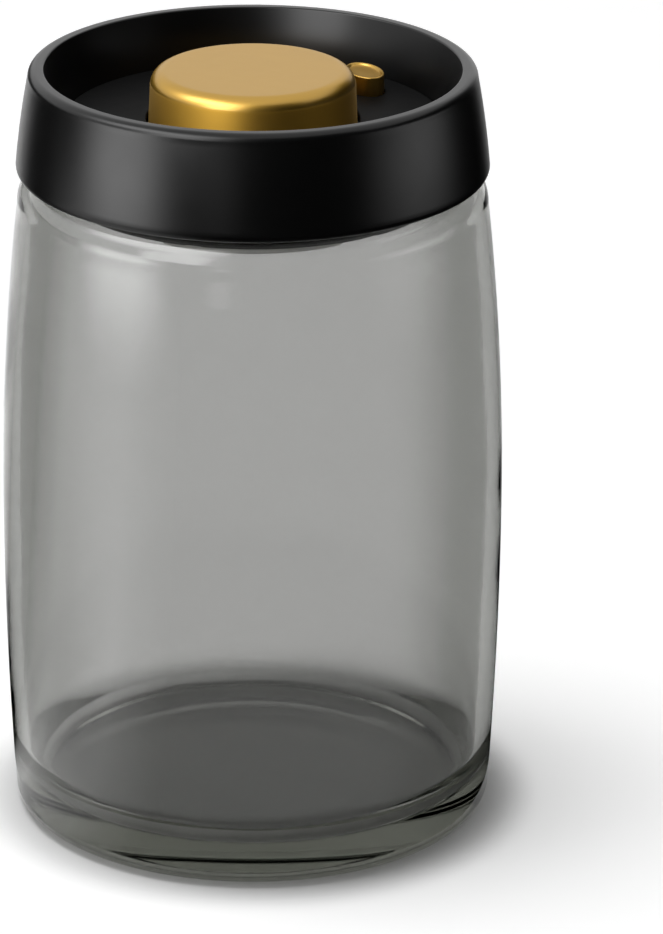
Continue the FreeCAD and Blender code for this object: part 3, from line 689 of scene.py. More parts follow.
def jar_profile(s):
    """Outline of the glass from under the base, up the outside and down the inside, and its wavy points.

    The lip and the neck stay true, because the gasket seals there."""
    neck_inner = s.shoulder_radius - s.shoulder_round
    neck_outer = neck_inner + s.neck_wall
    neck_top = jar_high.z
    foot_outer = s.heel_radius - s.heel_round
    foot_inner = foot_outer - s.foot_land
    hollow_middle = (foot_inner / 2, s.push_up * 0.75)
    hollow_end = (foot_inner - s.foot_edge, s.foot_edge / 16)
    hollow = arc((0.0, s.push_up), hollow_middle, hollow_end, HEEL_STEPS)
    outside = [(0.0, s.push_up), *hollow, (foot_inner, 0.0), (foot_inner + s.foot_edge, 0.0)]
    outside += [(foot_outer - s.foot_edge, 0.0), (foot_outer, 0.0)]
    heel_end = (s.heel_radius, s.heel_round)
    outside += quarter((foot_outer, s.heel_round), (foot_outer, 0.0), heel_end, HEEL_STEPS)
    low_middle = (s.heel_round + s.belly_height) / 2
    high_middle = (s.shoulder_height + s.belly_height) / 2
    low = (bulge(s, s.heel_radius, s.heel_round, low_middle), low_middle)
    high = (bulge(s, s.shoulder_radius, s.shoulder_height, high_middle), high_middle)
    belly = (s.belly_radius, s.belly_height)
    shoulder = (s.shoulder_radius, s.shoulder_height)
    outside += arc(outside[-1], low, belly, SIDE_STEPS) + arc(belly, high, shoulder, SIDE_STEPS)
    crest = math.sqrt(s.shoulder_round ** 2 - s.neck_wall ** 2)
    neck_foot = (neck_outer, s.shoulder_height + crest)
    outside += quarter((neck_inner, s.shoulder_height), shoulder, neck_foot, SHOULDER_STEPS)
    lip_low = neck_top - s.lip_round
    lip_outer, lip_inner = neck_outer - s.lip_round, neck_inner + s.lip_round
    outside.append((neck_outer, lip_low))
    outside += quarter((lip_outer, lip_low), outside[-1], (lip_outer, neck_top), ROUND_STEPS)
    inside = [(lip_inner, neck_top)]
    inside += quarter((lip_inner, lip_low), inside[-1], (neck_inner, lip_low), ROUND_STEPS)
    side = s.shoulder_radius - s.wall
    inside.append((neck_inner, s.shoulder_height + side - neck_inner))
    true_points = len(inside)
    inner_shoulder = (side, s.shoulder_height)
    inside += quarter((neck_inner, s.shoulder_height), inside[-1], inner_shoulder, INNER_SHOULDER_STEPS)
    inner_belly = (s.belly_radius - s.wall, s.belly_height)
    inside += arc(inside[-1], (high[0] - s.wall, high[1]), inner_belly, SIDE_STEPS)
    heel_height = s.floor + s.inner_heel_round
    heel = (bulge(s, s.heel_radius, s.heel_round, heel_height) - s.wall, heel_height)
    inside += arc(inside[-1], (low[0] - s.wall, low[1]), heel, LOW_SIDE_STEPS)
    floor_edge = (heel[0] - s.inner_heel_round, s.floor)
    inside += quarter((floor_edge[0], heel_height), heel, floor_edge, HEEL_STEPS)
    floor = [(floor_edge[0] * share, s.floor) for share in (0.97, 0.66, 0.33, 0.0)]
    first, last = len(outside) + true_points, len(outside) + len(inside)
    return outside + inside + floor, range(first, last)


def collar_profile(s):
    """Closed outline of the collar: skirt, side and rim, then the recess, the lip and the hollow inside."""
    top, bottom = collar_high.z, collar_low.z
    deck_top = deck_high.z
    deck_bottom = deck_top - s.deck_thickness
    lip_bottom = deck_bottom - s.lip
    side_bottom, side_top = bottom + s.foot_round, top - s.top_round
    foot_edge, top_edge = s.foot_radius - s.foot_round, s.top_radius - s.top_round
    foot_inner = s.foot_radius - s.wall
    middle = ((s.foot_radius + s.top_radius) / 2 + s.crown, (side_bottom + side_top) / 2)
    outside = [(foot_inner, bottom + s.hidden_round), (foot_inner + s.hidden_round, bottom)]
    outside.append((foot_edge, bottom))
    outside += quarter((foot_edge, side_bottom), outside[-1], (s.foot_radius, side_bottom), COLLAR_FOOT_STEPS)
    outside += arc(outside[-1], middle, (s.top_radius, side_top), COLLAR_SIDE_STEPS)
    outside += quarter((top_edge, side_top), outside[-1], (top_edge, top), COLLAR_TOP_STEPS)
    slope = (s.rim_radius - s.recess_radius) / (top - deck_top)
    cavity_top = top - s.solid_rim
    cavity_inner = s.recess_radius + slope * (cavity_top - deck_top) + s.inner_wall
    share = (cavity_top - side_bottom) / (side_top - side_bottom)
    cavity_outer = foot_inner - share * (s.foot_radius - s.top_radius)
    leg = s.recess_radius + s.inner_wall
    tip = s.recess_radius - s.lip_width
    small = s.hidden_round
    inside = rounded([
        outside[-1],
        (s.rim_radius, top, s.rim_round),
        (s.recess_radius, deck_top),
        (s.recess_radius, deck_bottom),
        (tip, deck_bottom, small),
        (tip, lip_bottom, small),
        (leg, lip_bottom, small),
        (leg, deck_top),
        (cavity_inner, cavity_top, small),
        (cavity_outer, cavity_top, small),
        outside[0],
    ])
    return outside + inside[1:]


def oval_cap(name, s, material):
    """Oval button with a rounded rim, a dished top and a hollow underneath."""
    top, bottom = button_high.z, button_low.z
    sides = SMALL_SEGMENTS
    dish_steps = 8
    floor = top - s.dish
    rings = [(0.0, bottom)]
    rings += [(0.0, top - s.rim_round * (1 + GUARD)), (0.0, top - s.rim_round)]
    rings += quarter((s.rim_round, top - s.rim_round), rings[-1], (s.rim_round, top), ROUND_STEPS)
    for i in range(1, dish_steps + 1):
        ease = i / dish_steps
        drop = s.dish * ease * ease * (3 - 2 * ease)
        rings.append((s.rim - s.rim_round + s.dish_run * ease, top - drop))
    under = [(s.wall, top - s.roof), (s.wall, bottom)]
    cos_turn, sin_turn = math.cos(s.turned), math.sin(s.turned)
    centre = (button_low + button_high) / 2
    work = bmesh.new()

    def ring(half_length, half_width, height):
        made = []
        for i in range(sides):
            angle = math.tau * i / sides
            x, y = half_length * math.cos(angle), half_width * math.sin(angle)
            made.append(work.verts.new((
                centre.x + x * cos_turn - y * sin_turn,
                centre.y + x * sin_turn + y * cos_turn,
                height,
            )))
        return made

    def bridge(one, two):
        for i in range(sides):
            j = (i + 1) % sides
            work.faces.new((one[i], one[j], two[j], two[i]))

    def close(edge, half_length, half_width, height):
        """Fills a ring with smaller ovals down to its middle."""
        for share in (0.6, 0.25):
            inner = ring(half_length * share, half_width * share, height)
            bridge(edge, inner)
            edge = inner
        middle = work.verts.new((centre.x, centre.y, height))
        for i in range(sides):
            work.faces.new((edge[i], edge[(i + 1) % sides], middle))

    made = [ring(s.half_length - inset, s.half_width - inset, z) for inset, z in rings]
    for one, two in zip(made, made[1:]):
        bridge(one, two)
    inset = rings[-1][0]
    close(made[-1], s.half_length - inset, s.half_width - inset, floor)
    hollow = [ring(s.half_length - inset, s.half_width - inset, z) for inset, z in under]
    bridge(hollow[0], hollow[1])
    bridge(hollow[1], made[0])
    close(hollow[0], s.half_length - s.wall, s.half_width - s.wall, top - s.roof)
    obj = new_object(name, [])
    bmesh.ops.recalc_face_normals(work, faces=work.faces)
    for face in work.faces:
        face.smooth = True
    for edge in work.edges:
        edge.smooth = edge.calc_face_angle(0.0) < SHARP
    work.to_mesh(obj.data)
    work.free()
    obj.data.materials.append(material)
    return obj


def screw_mould(name, shank, head, head_height, bite, pitch):
    """Screw that points up from its seat at zero: pan head, cross recess, thread and point."""
    sides = 48
    rings_per_turn, first_ring = 6, 0.25
    depth = head_height * 0.55
    cross_width = head * 0.13
    cross_length = cross_width / math.tan(math.radians(15))
    recess_taper = 0.8
    core = shank * 0.78
    root = core * 1.15
    point = shank * 1.6
    blunt_tip = 0.12
    ridge_half = 0.32
    low = -head_height
    crown = head * 0.62
    brow, cheek = (head * 0.9, low + head_height * 0.2), (head, low + head_height * 0.62)
    head_steps = 7
    under_edge, edge_height = head * 0.965, head_height * 0.08
    smallest = 1e-9
    work = bmesh.new()

    def ring(radius, height):
        """Ring of points whose radius is a number or a function of the angle and the height."""
        made = []
        for i in range(sides):
            angle = math.tau * i / sides
            r = radius(angle, height) if callable(radius) else radius
            made.append(work.verts.new((r * math.cos(angle), r * math.sin(angle), height)))
        return made

    def cross(angle, _):
        c, s = max(abs(math.cos(angle)), smallest), max(abs(math.sin(angle)), smallest)
        flat = min(cross_length / c, cross_width / s)
        tall = min(cross_width / c, cross_length / s)
        return max(flat, tall)

    def thread(angle, height):
        turns = height / pitch - angle / math.tau
        ridge = max(0.0, 1 - abs(turns % 1.0 - 0.5) / ridge_half)
        taper = min(1.0, (bite - height) / point)
        fade = min(1.0, height / pitch)
        return (core + (shank - core) * ridge * fade) * max(taper, blunt_tip)

    rings = [ring(lambda a, z: cross(a, z) * recess_taper, low + depth), ring(cross, low)]
    rings.append(ring(crown, low))
    rings += [ring(r, z) for r, z in arc((crown, low), brow, cheek, head_steps)]
    rings += [ring(head, -edge_height), ring(under_edge, 0.0), ring(root, 0.0)]
    steps = round(bite / pitch * rings_per_turn)
    rings += [ring(thread, bite * (i + first_ring) / steps) for i in range(steps)]
    for one, two in zip(rings, rings[1:]):
        for i in range(sides):
            j = (i + 1) % sides
            work.faces.new((one[i], one[j], two[j], two[i]))
    for edge, height in ((rings[0], low + depth), (rings[-1], bite)):
        middle = work.verts.new((0.0, 0.0, height))
        for i in range(sides):
            work.faces.new((edge[i], edge[(i + 1) % sides], middle))
    bmesh.ops.recalc_face_normals(work, faces=work.faces)
    for face in work.faces:
        face.smooth = True
    for edge in work.edges:
        edge.smooth = edge.calc_face_angle(0.0) < SCREW_SHARP
    obj = new_object(name, [])
    work.to_mesh(obj.data)
    work.free()
    return obj


def ring_of_screws(name, shank, head, head_height, node_low, node_high, circle, start, number):
    """Screws on a circle, their heads at the low end of the node that they stand for."""
    seat = node_low.z + head_height
    bite, pitch = node_high.z - seat, settings("screws").pitch
    mould = screw_mould(f"{name}_mould", shank, head, head_height, bite, pitch)
    obj = grow(new_object(name, []), tree_once("Ring of screws", screws_tree), {
        "Screw": mould,
        "Count": number,
        "Circle radius": circle,
        "Start angle": start,
        "Height": seat,
        "Material": finish("zinc"),
    })
    bpy.data.objects.remove(mould)
    return obj


def coil(name, low, high, sizes, coil_gap):
    """Spring between two heights, close wound at its ends and open between them."""
    wire, turns = sizes.spring_wire, sizes.spring_turns
    centre = (low + high) / 2
    mean = (high.x - low.x) / 2 - wire
    per_turn = 40
    rise = high.z - low.z - 2 * wire
    close_rise = turns * (2 * wire + coil_gap)
    points = []
    for i in range(turns * per_turn + 1):
        share = i / (turns * per_turn)
        swell = share - math.sin(math.tau * share) / math.tau
        angle = math.tau * turns * share
        height = low.z + wire + close_rise * share + (rise - close_rise) * swell
        points.append((centre.x + mean * math.cos(angle), centre.y + mean * math.sin(angle), height))
    obj = new_object(name, points, [(i, i + 1) for i in range(len(points) - 1)])
    return grow(obj, tree_once("Coiled wire", wire_tree), {
        "Wire radius": wire,
        "Material": finish("wire"),
    })


# Shared surface effects

def drift_group():
    """Slow change of colour and roughness over a surface, as moulding and handling leave it."""
    rubs_per_patch = 2.7
    tree, enter, leave = new_tree("Surface drift", "ShaderNodeTree", [
        ("Colour", "NodeSocketColor", (0.5, 0.5, 0.5, 1.0)),
        ("Colour drift", "NodeSocketFloat", 0.1),
        ("Roughness", "NodeSocketFloat", 0.4),
        ("Roughness drift", "NodeSocketFloat", 0.05),
        ("Patch size", "NodeSocketFloat", 0.02),
    ], [("Colour", "NodeSocketColor"), ("Roughness", "NodeSocketFloat")])
    place = out(add(tree, "ShaderNodeTexCoord"), "Object")
    scale = math_node(tree, "DIVIDE", 1.0, enter.outputs["Patch size"])
    patches = add(tree, "ShaderNodeTexNoise", {"Vector": place, "Scale": scale, "Detail": 3.0})
    shift = math_node(tree, "SUBTRACT", out(patches), 0.5)
    gain = math_node(tree, "MULTIPLY_ADD", shift, enter.outputs["Colour drift"], 1.0)
    tinted = add(tree, "ShaderNodeVectorMath", {0: enter.outputs["Colour"], "Scale": gain}, operation="SCALE")
    tree.links.new(out(tinted), leave.inputs["Colour"])
    rub = add(tree, "ShaderNodeTexNoise", {
        "Vector": place,
        "Scale": math_node(tree, "MULTIPLY", scale, rubs_per_patch),
        "Detail": 4.0,
        "Distortion": 0.6,
    })
    sway = math_node(tree, "SUBTRACT", out(rub), 0.5)
    plain, drift = enter.outputs["Roughness"], enter.outputs["Roughness drift"]
    rough = math_node(tree, "MULTIPLY_ADD", sway, drift, plain)
    tree.links.new(rough, leave.inputs["Roughness"])
    return tree


def grain_group():
    """Height of a fine random grain, such as spark-eroded moulds and blasted metal leave."""
    pits_per_grain = 0.6
    tree, enter, leave = new_tree("Fine grain", "ShaderNodeTree", [
        ("Grain size", "NodeSocketFloat", 0.0002),
        ("Pits", "NodeSocketFloat", 0.3),
    ], [("Height", "NodeSocketFloat")])
    place = out(add(tree, "ShaderNodeTexCoord"), "Object")
    scale = math_node(tree, "DIVIDE", 1.0, enter.outputs["Grain size"])
    fine = add(tree, "ShaderNodeTexNoise", {"Vector": place, "Scale": scale, "Detail": 2.0})
    cells = add(tree, "ShaderNodeTexVoronoi", {
        "Vector": place,
        "Scale": math_node(tree, "MULTIPLY", scale, pits_per_grain),
    })
    height = math_node(tree, "MULTIPLY_ADD", out(cells, "Distance"), enter.outputs["Pits"], out(fine))
    tree.links.new(height, leave.inputs["Height"])
    return tree


def place_group(tree, name, build, values):
    return add(tree, "ShaderNodeGroup", values, node_tree=tree_once(name, build))


# Each finish: how far its colour drifts, its roughness and how far that drifts, the size of the patches,
# the size and the pits of its grain, the strength of its bump, and the plain sockets of its shader.
# The knob's side is gold with fine lines turned round it, which spread light up and down.
BUMP_DEPTH = 0.0001
FINISHES = {
    "collar": dict(drift=0.25, rough=0.29, rub=0.05, patch=0.018, grain=0.00022, pits=0.25, bump=0.03,
                   sockets={"Specular IOR Level": 0.33}),
    "deck": dict(drift=0.25, rough=0.55, rub=0.08, patch=0.012, grain=0.00030, pits=0.45, bump=0.08,
                 sockets={"Specular IOR Level": 0.05}),
    "base": dict(drift=0.25, rough=0.44, rub=0.10, patch=0.010, grain=0.00028, pits=0.3, bump=0.15,
                 sockets={"Specular IOR Level": 0.45}),
    "gold": dict(drift=0.07, rough=0.36, rub=0.05, patch=0.010, grain=0.00012, pits=0.35, bump=0.04,
                 sockets={"Metallic": 1.0, "Specular Tint": (0.80, 0.62, 0.20, 1.0),
                          "Coat Weight": 0.8, "Coat Roughness": 0.25}),
    "gold_side": dict(drift=0.07, rough=0.58, rub=0.05, patch=0.010, grain=0.00012, pits=0.35, bump=0.04,
                      sockets={"Metallic": 1.0, "Anisotropic": 0.8, "Anisotropic Rotation": 0.25,
                               "Coat Weight": 0.2, "Coat Roughness": 0.4}),
    "silicone": dict(drift=0.08, rough=0.50, rub=0.12, patch=0.008, grain=0.00035, pits=0.2, bump=0.10,
                     sockets={"Subsurface Weight": 0.35, "Subsurface Scale": 1.0,
                              "Subsurface Radius": (0.0012, 0.0012, 0.0011)}),
    "rubber": dict(drift=0.30, rough=0.62, rub=0.12, patch=0.006, grain=0.00025, pits=0.2, bump=0.15,
                   sockets={"Specular IOR Level": 0.35}),
    "nylon": dict(drift=0.06, rough=0.42, rub=0.10, patch=0.012, grain=0.00030, pits=0.25, bump=0.08,
                  sockets={"Subsurface Weight": 0.15, "Subsurface Scale": 1.0,
                           "Subsurface Radius": (0.0010, 0.0010, 0.0008)}),
    "felt": dict(drift=0.35, rough=0.95, rub=0.05, patch=0.0015, grain=0.00025, pits=1.2, bump=0.8,
                 depth=0.0003, sockets={"Sheen Weight": 0.4, "Specular IOR Level": 0.2}),
    "wire": dict(drift=0.12, rough=0.28, rub=0.12, patch=0.0015, grain=0.00010, pits=0.2, bump=0.08,
                 sockets={"Metallic": 1.0}),
    "zinc": dict(drift=0.15, rough=0.30, rub=0.14, patch=0.0012, grain=0.00012, pits=0.3, bump=0.08,
                 sockets={"Metallic": 1.0}),
}


def finish(name, colour_name=None):
    """Material of a finish, made once, in the colour of that name or of another one."""
    found = bpy.data.materials.get(f"{name}_finish")
    if found:
        return found
    row = FINISHES[name]
    material = bpy.data.materials.new(f"{name}_finish")
    material.use_nodes = True
    tree = material.node_tree
    changing = place_group(tree, "Surface drift", drift_group, {
        "Colour": getattr(settings("finishes"), colour_name or name),
        "Colour drift": row["drift"],
        "Roughness": row["rough"],
        "Roughness drift": row["rub"],
        "Patch size": row["patch"],
    })
    grain = place_group(tree, "Fine grain", grain_group, {"Grain size": row["grain"], "Pits": row["pits"]})
    relief = add(tree, "ShaderNodeBump", {
        "Strength": row["bump"],
        "Distance": row.get("depth", BUMP_DEPTH),
        "Height": out(grain),
    })
    fill(tree, tree.nodes["Principled BSDF"], {
        "Base Color": out(changing, "Colour"),
        "Roughness": out(changing, "Roughness"),
        "Normal": out(relief),
        **row["sockets"],
    })
    return material


def glass_finish():
    """Clear glass with ripples, greyed by painted shade that deepens where a wall turns edge on; darker where
    thick.
    """
    edge_shade_from, edge_shade_full = 0.22, 0.55
    colours = settings("finishes")
    material = bpy.data.materials.new("glass_finish")
    material.use_nodes = True
    tree = material.node_tree
    principled, output = tree.nodes["Principled BSDF"], tree.nodes["Material Output"]
    place = out(add(tree, "ShaderNodeTexCoord"), "Object")
    ripple = add(tree, "ShaderNodeTexNoise", {"Vector": place, "Scale": 26.0, "Detail": 1.0})
    relief = add(tree, "ShaderNodeBump", {"Strength": 0.05, "Distance": 0.002, "Height": out(ripple)})
    # Painted shade: the colour darkens from the wall's grey to the edge colour as a wall turns edge on to the
    # view
    facing = out(add(tree, "ShaderNodeLayerWeight", {"Blend": 0.5}), "Facing")
    along = add(tree, "ShaderNodeMapRange", {
        "Value": facing,
        "From Min": edge_shade_from,
        "From Max": edge_shade_full,
    }, interpolation_type="SMOOTHSTEP")
    tone = add(tree, "ShaderNodeMix", {
        "Factor": out(along),
        "A": tuple(colours.glass_wall_tint_and_shade),
        "B": tuple(colours.glass_edge_shade),
    }, data_type="RGBA")
    fill(tree, principled, {
        "Base Color": out(tone),
        "Roughness": 0.0,
        "IOR": 1.5,
        "Transmission Weight": 1.0,
        "Normal": out(relief),
    })
    let_through = add(tree, "ShaderNodeBsdfTransparent", {"Color": tuple(colours.glass_shade)})
    shadow = out(add(tree, "ShaderNodeLightPath"), "Is Shadow Ray")
    mixed = add(tree, "ShaderNodeMixShader", {0: shadow, 1: out(principled), 2: out(let_through)})
    tint = add(tree, "ShaderNodeVolumeAbsorption",
               {"Color": tuple(colours.glass), "Density": colours.glass_density})
    tree.links.new(out(mixed), output.inputs["Surface"])
    tree.links.new(out(tint), output.inputs["Volume"])
    return material


def paint_sides(obj, material):
    """Gives the upright faces of a piece a finish of their own."""
    obj.data.materials.append(material)
    for face in obj.data.polygons:
        if abs(face.normal.z) < UPRIGHT:
            face.material_index = 1


def paint(material, *nodes):
    """Gives CAD nodes that keep their shape a finished surface."""
    for node in nodes:
        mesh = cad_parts[node].data
        mesh.materials.clear()
        mesh.materials.append(material)


# Operators

class CANISTER_OT_glass_jar(bpy.types.Operator):
    """Turn the glass jar with its thick base and wavy inner face"""

    bl_idname = "canister.glass_jar"
    bl_label = "Glass Jar"

    def execute(self, context):
        sizes = settings("jar")
        profile, wavy = jar_profile(sizes)
        jar = turned("jar_glass", profile, glass_finish(), sizes.segments, wavy, sizes.waves, sizes.wave_size)
        settle(jar, "jar", "clear_glass", "glass_jar")
        return {"FINISHED"}


class CANISTER_OT_lid_collar(bpy.types.Operator):
    """Turn the lid's black collar"""

    bl_idname = "canister.lid_collar"
    bl_label = "Lid Collar"

    def execute(self, context):
        sizes = settings("lid")
        collar = turned("collar_ring", collar_profile(sizes), finish("collar"), sizes.segments)
        settle(collar, "lid", "collar_black", "lid_collar")
        return {"FINISHED"}


class CANISTER_OT_lid_mouldings(bpy.types.Operator):
    """Finish the deck, the base and the pump's mouldings, whose shapes stay as they are"""

    bl_idname = "canister.lid_mouldings"
    bl_label = "Lid Mouldings"

    def execute(self, context):
        paint(finish("deck"), "lid_deck")
        paint(finish("base"), "lid_base", "knob_core", "release_stem")
        paint(finish("nylon"), "pump_cylinder", "piston", "release_seat")
        paint(finish("wire"), "release_clip")
        return {"FINISHED"}


class CANISTER_OT_seals(bpy.types.Operator):
    """Turn the gasket, the O-ring, the piston's seal and the release plug"""

    bl_idname = "canister.seals"
    bl_label = "Seals"

    def execute(self, context):
        s, pump, release = settings("lid"), settings("pump"), settings("release")
        sleeve = s.gasket_bore + s.gasket_wall
        soft = pump.soft_round
        flange_low = gasket_high.z - s.gasket_flange
        corners = [(s.gasket_bore, gasket_low.z, soft), (sleeve, gasket_low.z, soft)]
        for step in range(s.gasket_lips):
            top = gasket_low.z + (step + 1) * s.gasket_lip_step
            corners.append((sleeve, top - s.gasket_lip_height))
            corners.append((s.gasket_lip_radius, top - 2 * soft, soft))
            corners.append((s.gasket_lip_radius, top, soft / 2))
            corners.append((sleeve, top))
        corners += [
            (sleeve, flange_low),
            (gasket_high.x, flange_low, soft),
            (gasket_high.x, gasket_high.z, soft),
            (s.gasket_bore, gasket_high.z, soft),
        ]
        gasket = turned("gasket_ring", loop(corners), finish("silicone"), s.segments)
        settle(gasket, "lid", "silicone_white", "lid_gasket")

        wire, middle = s.oring_wire, (oring_low.z + oring_high.z) / 2
        circle = oring_high.x - wire
        angles = [math.tau * i / WIRE_SIDES for i in range(WIRE_SIDES + 1)]
        section = [(circle + wire * math.cos(angle), middle + wire * math.sin(angle)) for angle in angles]
        oring = turned("cylinder_oring", section, finish("rubber"), RING_SEGMENTS)
        settle(oring, "lid", "seal_black", "cylinder_seal")

        waist = (seal_low.z + seal_high.z) / 2
        ring = turned("piston_ring", loop([
            (pump.seal_bore, seal_low.z, soft),
            (seal_high.x, seal_low.z, soft),
            (pump.seal_waist, waist, soft),
            (seal_high.x, seal_high.z, soft),
            (pump.seal_bore, seal_high.z, soft),
        ]), finish("rubber"), RING_SEGMENTS)
        settle(ring, "pump", "seal_black", "piston_seal")

        plug = turned("release_stopper", loop([
            (release.plug_bore, plug_low.z, soft),
            (plug_high.x - release_place.x, plug_low.z, release.plug_round),
            (plug_high.x - release_place.x, plug_high.z, soft),
            (release.plug_bore, plug_high.z, soft),
        ]), finish("silicone"), SMALL_SEGMENTS, place=release_place[:2])
        settle(plug, "release", "silicone_white", "release_plug")
        return {"FINISHED"}


class CANISTER_OT_valves(bpy.types.Operator):
    """Turn the umbrella valve and the exhaust flap"""

    bl_idname = "canister.valves"
    bl_label = "Valves"

    def execute(self, context):
        s = settings("pump")
        crown = umbrella_high.z
        seat = crown - s.umbrella
        neck = umbrella_low.z + s.bulb_length
        rim, tip = umbrella_high.x, umbrella_low.z
        flat_share, chamfer_share, dome_share, tip_share = 0.7, 0.3, 0.75, 0.8
        edge = [(rim, seat), (rim, seat + s.umbrella_edge * flat_share)]
        edge.append((rim - s.umbrella_edge * chamfer_share, seat + s.umbrella_edge))
        middle = ((rim + s.stem) / 2, seat + s.umbrella * dome_share)
        dome = arc(edge[-1], middle, (s.stem, crown), DOME_STEPS)
        tail = [(0.0, tip), (s.stem * tip_share, tip), (s.stem, tip + s.soft_round)]
        tail += [(s.bulb, neck - s.soft_round), (s.bulb, neck), (s.stem, neck), (s.stem, seat)]
        outline = [*tail, *edge, *dome, (0.0, crown)]
        umbrella = turned("umbrella_valve", outline, finish("silicone"), SMALL_SEGMENTS)
        settle(umbrella, "lid", "silicone_white", "intake_valve")

        flap = turned("exhaust_flap", loop([
            (s.flap_bore, flap_low.z, s.soft_round),
            (flap_high.x, flap_low.z, s.soft_round),
            (flap_high.x, flap_high.z, s.soft_round),
            (s.flap_bore, flap_high.z, s.soft_round),
        ]), finish("silicone"), DISC_SEGMENTS)
        settle(flap, "pump", "silicone_white", "exhaust_valve")
        return {"FINISHED"}


class CANISTER_OT_filter(bpy.types.Operator):
    """Make the felt disc and the perforated cover that holds it"""

    bl_idname = "canister.filter"
    bl_label = "Filter"

    def execute(self, context):
        s = settings("pump")
        edge = rounded([
            (0.0, felt_low.z),
            (felt_high.x, felt_low.z, s.felt_round),
            (felt_high.x, felt_high.z, s.felt_round),
            (0.0, felt_high.z),
        ])
        felt = turned("felt_disc", edge, finish("felt"), DISC_SEGMENTS)
        settle(felt, "lid", "filter_felt", "intake_filter")

        centres = [(0.0, 0.0, 0.0)]
        for row in range(1, s.hole_rings + 1):
            number = row * s.holes_per_ring
            for step in range(number):
                angle = math.tau * step / number
                radius = row * s.hole_step
                centres.append((radius * math.cos(angle), radius * math.sin(angle), 0.0))
        plate = tree_once("Perforated plate", perforated_tree)
        cover = grow(new_object("perforated_cover", centres), plate, {
            "Plate radius": cover_high.x,
            "Hole radius": s.hole,
            "Thickness": cover_high.z - cover_low.z,
            "Height": cover_low.z,
            "Material": finish("nylon"),
        })
        settle(cover, "lid", "cylinder_white", "filter_cover")
        return {"FINISHED"}


class CANISTER_OT_pump_knob(bpy.types.Operator):
    """Turn the gold knob"""

    bl_idname = "canister.pump_knob"
    bl_label = "Pump Knob"

    def execute(self, context):
        s = settings("pump")
        top, bottom = knob_high.z, knob_low.z
        profile = rounded([
            (0.0, top - s.knob_roof),
            (s.knob_bore, top - s.knob_roof, s.knob_bore_round),
            (s.knob_bore, bottom, s.knob_foot_round),
            (s.knob_radius, bottom, s.knob_foot_round),
            (s.knob_top_radius, top, s.knob_round),
            (0.0, top),
        ], KNOB_STEPS)
        knob = turned("gold_knob", profile, finish("gold"), s.knob_segments)
        paint_sides(knob, finish("gold_side", "gold"))
        settle(knob, "pump", "knob_gold", "pump_knob")
        return {"FINISHED"}


class CANISTER_OT_release_button(bpy.types.Operator):
    """Make the oval gold release button"""

    bl_idname = "canister.release_button"
    bl_label = "Release Button"

    def execute(self, context):
        button = oval_cap("gold_button", settings("release"), finish("gold"))
        settle(button, "release", "knob_gold", "release_button")
        return {"FINISHED"}


class CANISTER_OT_springs(bpy.types.Operator):
    """Wind the pump's spring and the release spring"""

    bl_idname = "canister.springs"
    bl_label = "Springs"

    def execute(self, context):
        pump, release = settings("pump"), settings("release")
        for name, node, joint, low, high, sizes in (
            ("pump_coil", "pump_spring", "pump_press", pump_spring_low, pump_spring_high, pump),
            ("release_coil", "release_spring", "release_press",
             release_spring_low, release_spring_high, release),
        ):
            spring = coil(name, low, high, sizes, pump.coil_gap)
            settle(spring, "lid", "spring_steel", node)
            tuple(low)
            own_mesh(spring)
        return {"FINISHED"}


class CANISTER_OT_screws(bpy.types.Operator):
    """Make the screws of the lid, the cylinder and the piston"""

    bl_idname = "canister.screws"
    bl_label = "Screws"

    def execute(self, context):
        s = settings("screws")
        small = (s.shank, s.head, s.head_height)
        lid = ring_of_screws("lid_screw_ring", *small, lid_screw_low, lid_screw_high,
                             s.lid_circle, s.lid_start, s.lid_count)
        settle(lid, "lid", "screw_steel", "lid_screws")
        ears = ring_of_screws("cylinder_screw_ring", *small, ear_screw_low, ear_screw_high,
                              s.ear_circle, s.ear_start, s.ear_count)
        settle(ears, "lid", "screw_steel", "cylinder_screws")
        middle = ring_of_screws("piston_screw_middle", s.big_shank, s.big_head, s.big_head_height,
                                piston_screw_low, piston_screw_high, 0.0, 0.0, 1)
        settle(middle, "pump", "screw_steel", "piston_screw")
        return {"FINISHED"}


def seen_directly(tree):
    """One for a ray from the camera, a reflection or glass, and none for one that only lights a surface."""
    path = add(tree, "ShaderNodeLightPath")
    either = math_node(tree, "MAXIMUM", out(path, "Is Camera Ray"), out(path, "Is Glossy Ray"))
    return math_node(tree, "MAXIMUM", either, out(path, "Is Transmission Ray"))


def studio_world(s):
    world = bpy.data.worlds.new("studio")
    world.use_nodes = True
    tree = world.node_tree
    background = tree.nodes["Background"]
    level = math_node(tree, "MULTIPLY_ADD", seen_directly(tree), 1.0 - s.ambient, s.ambient)
    fill(tree, background, {"Color": (1.0, 1.0, 1.0, 1.0), "Strength": level})
    bpy.context.scene.world = world


def floor_white(s):
    """White sheet whose own glow, for rays that see it, brings it to the white of the background.

    Under the jar it has no glow, so the jar's shadow stays dark; the glow's fading edge is a painted contact
    shadow."""
    material = bpy.data.materials.new("floor_white")
    material.use_nodes = True
    tree = material.node_tree
    principled, output = tree.nodes["Principled BSDF"], tree.nodes["Material Output"]
    fill(tree, principled, {
        "Base Color": (s.floor_tone, s.floor_tone, s.floor_tone, 1.0),
        "Roughness": 1.0,
        "Specular IOR Level": 0.0,
    })
    place = out(add(tree, "ShaderNodeTexCoord"), "Object")
    radius = out(add(tree, "ShaderNodeVectorMath", {0: place}, operation="LENGTH"), "Value")
    # Painted contact shadow: no glow under the jar, fading in over a ring just outside the foot
    clear = add(tree, "ShaderNodeMapRange", {
        "Value": radius,
        "From Min": s.painted_shadow_inner,
        "From Max": s.painted_shadow_outer,
        "To Max": s.floor_glow,
    }, interpolation_type="SMOOTHSTEP")
    glow = add(tree, "ShaderNodeEmission", {
        "Color": (1.0, 1.0, 1.0, 1.0),
        "Strength": math_node(tree, "MULTIPLY", seen_directly(tree), out(clear)),
    })
    both = add(tree, "ShaderNodeAddShader", {0: out(principled), 1: out(glow)})
    tree.links.new(out(both), output.inputs["Surface"])
    return material


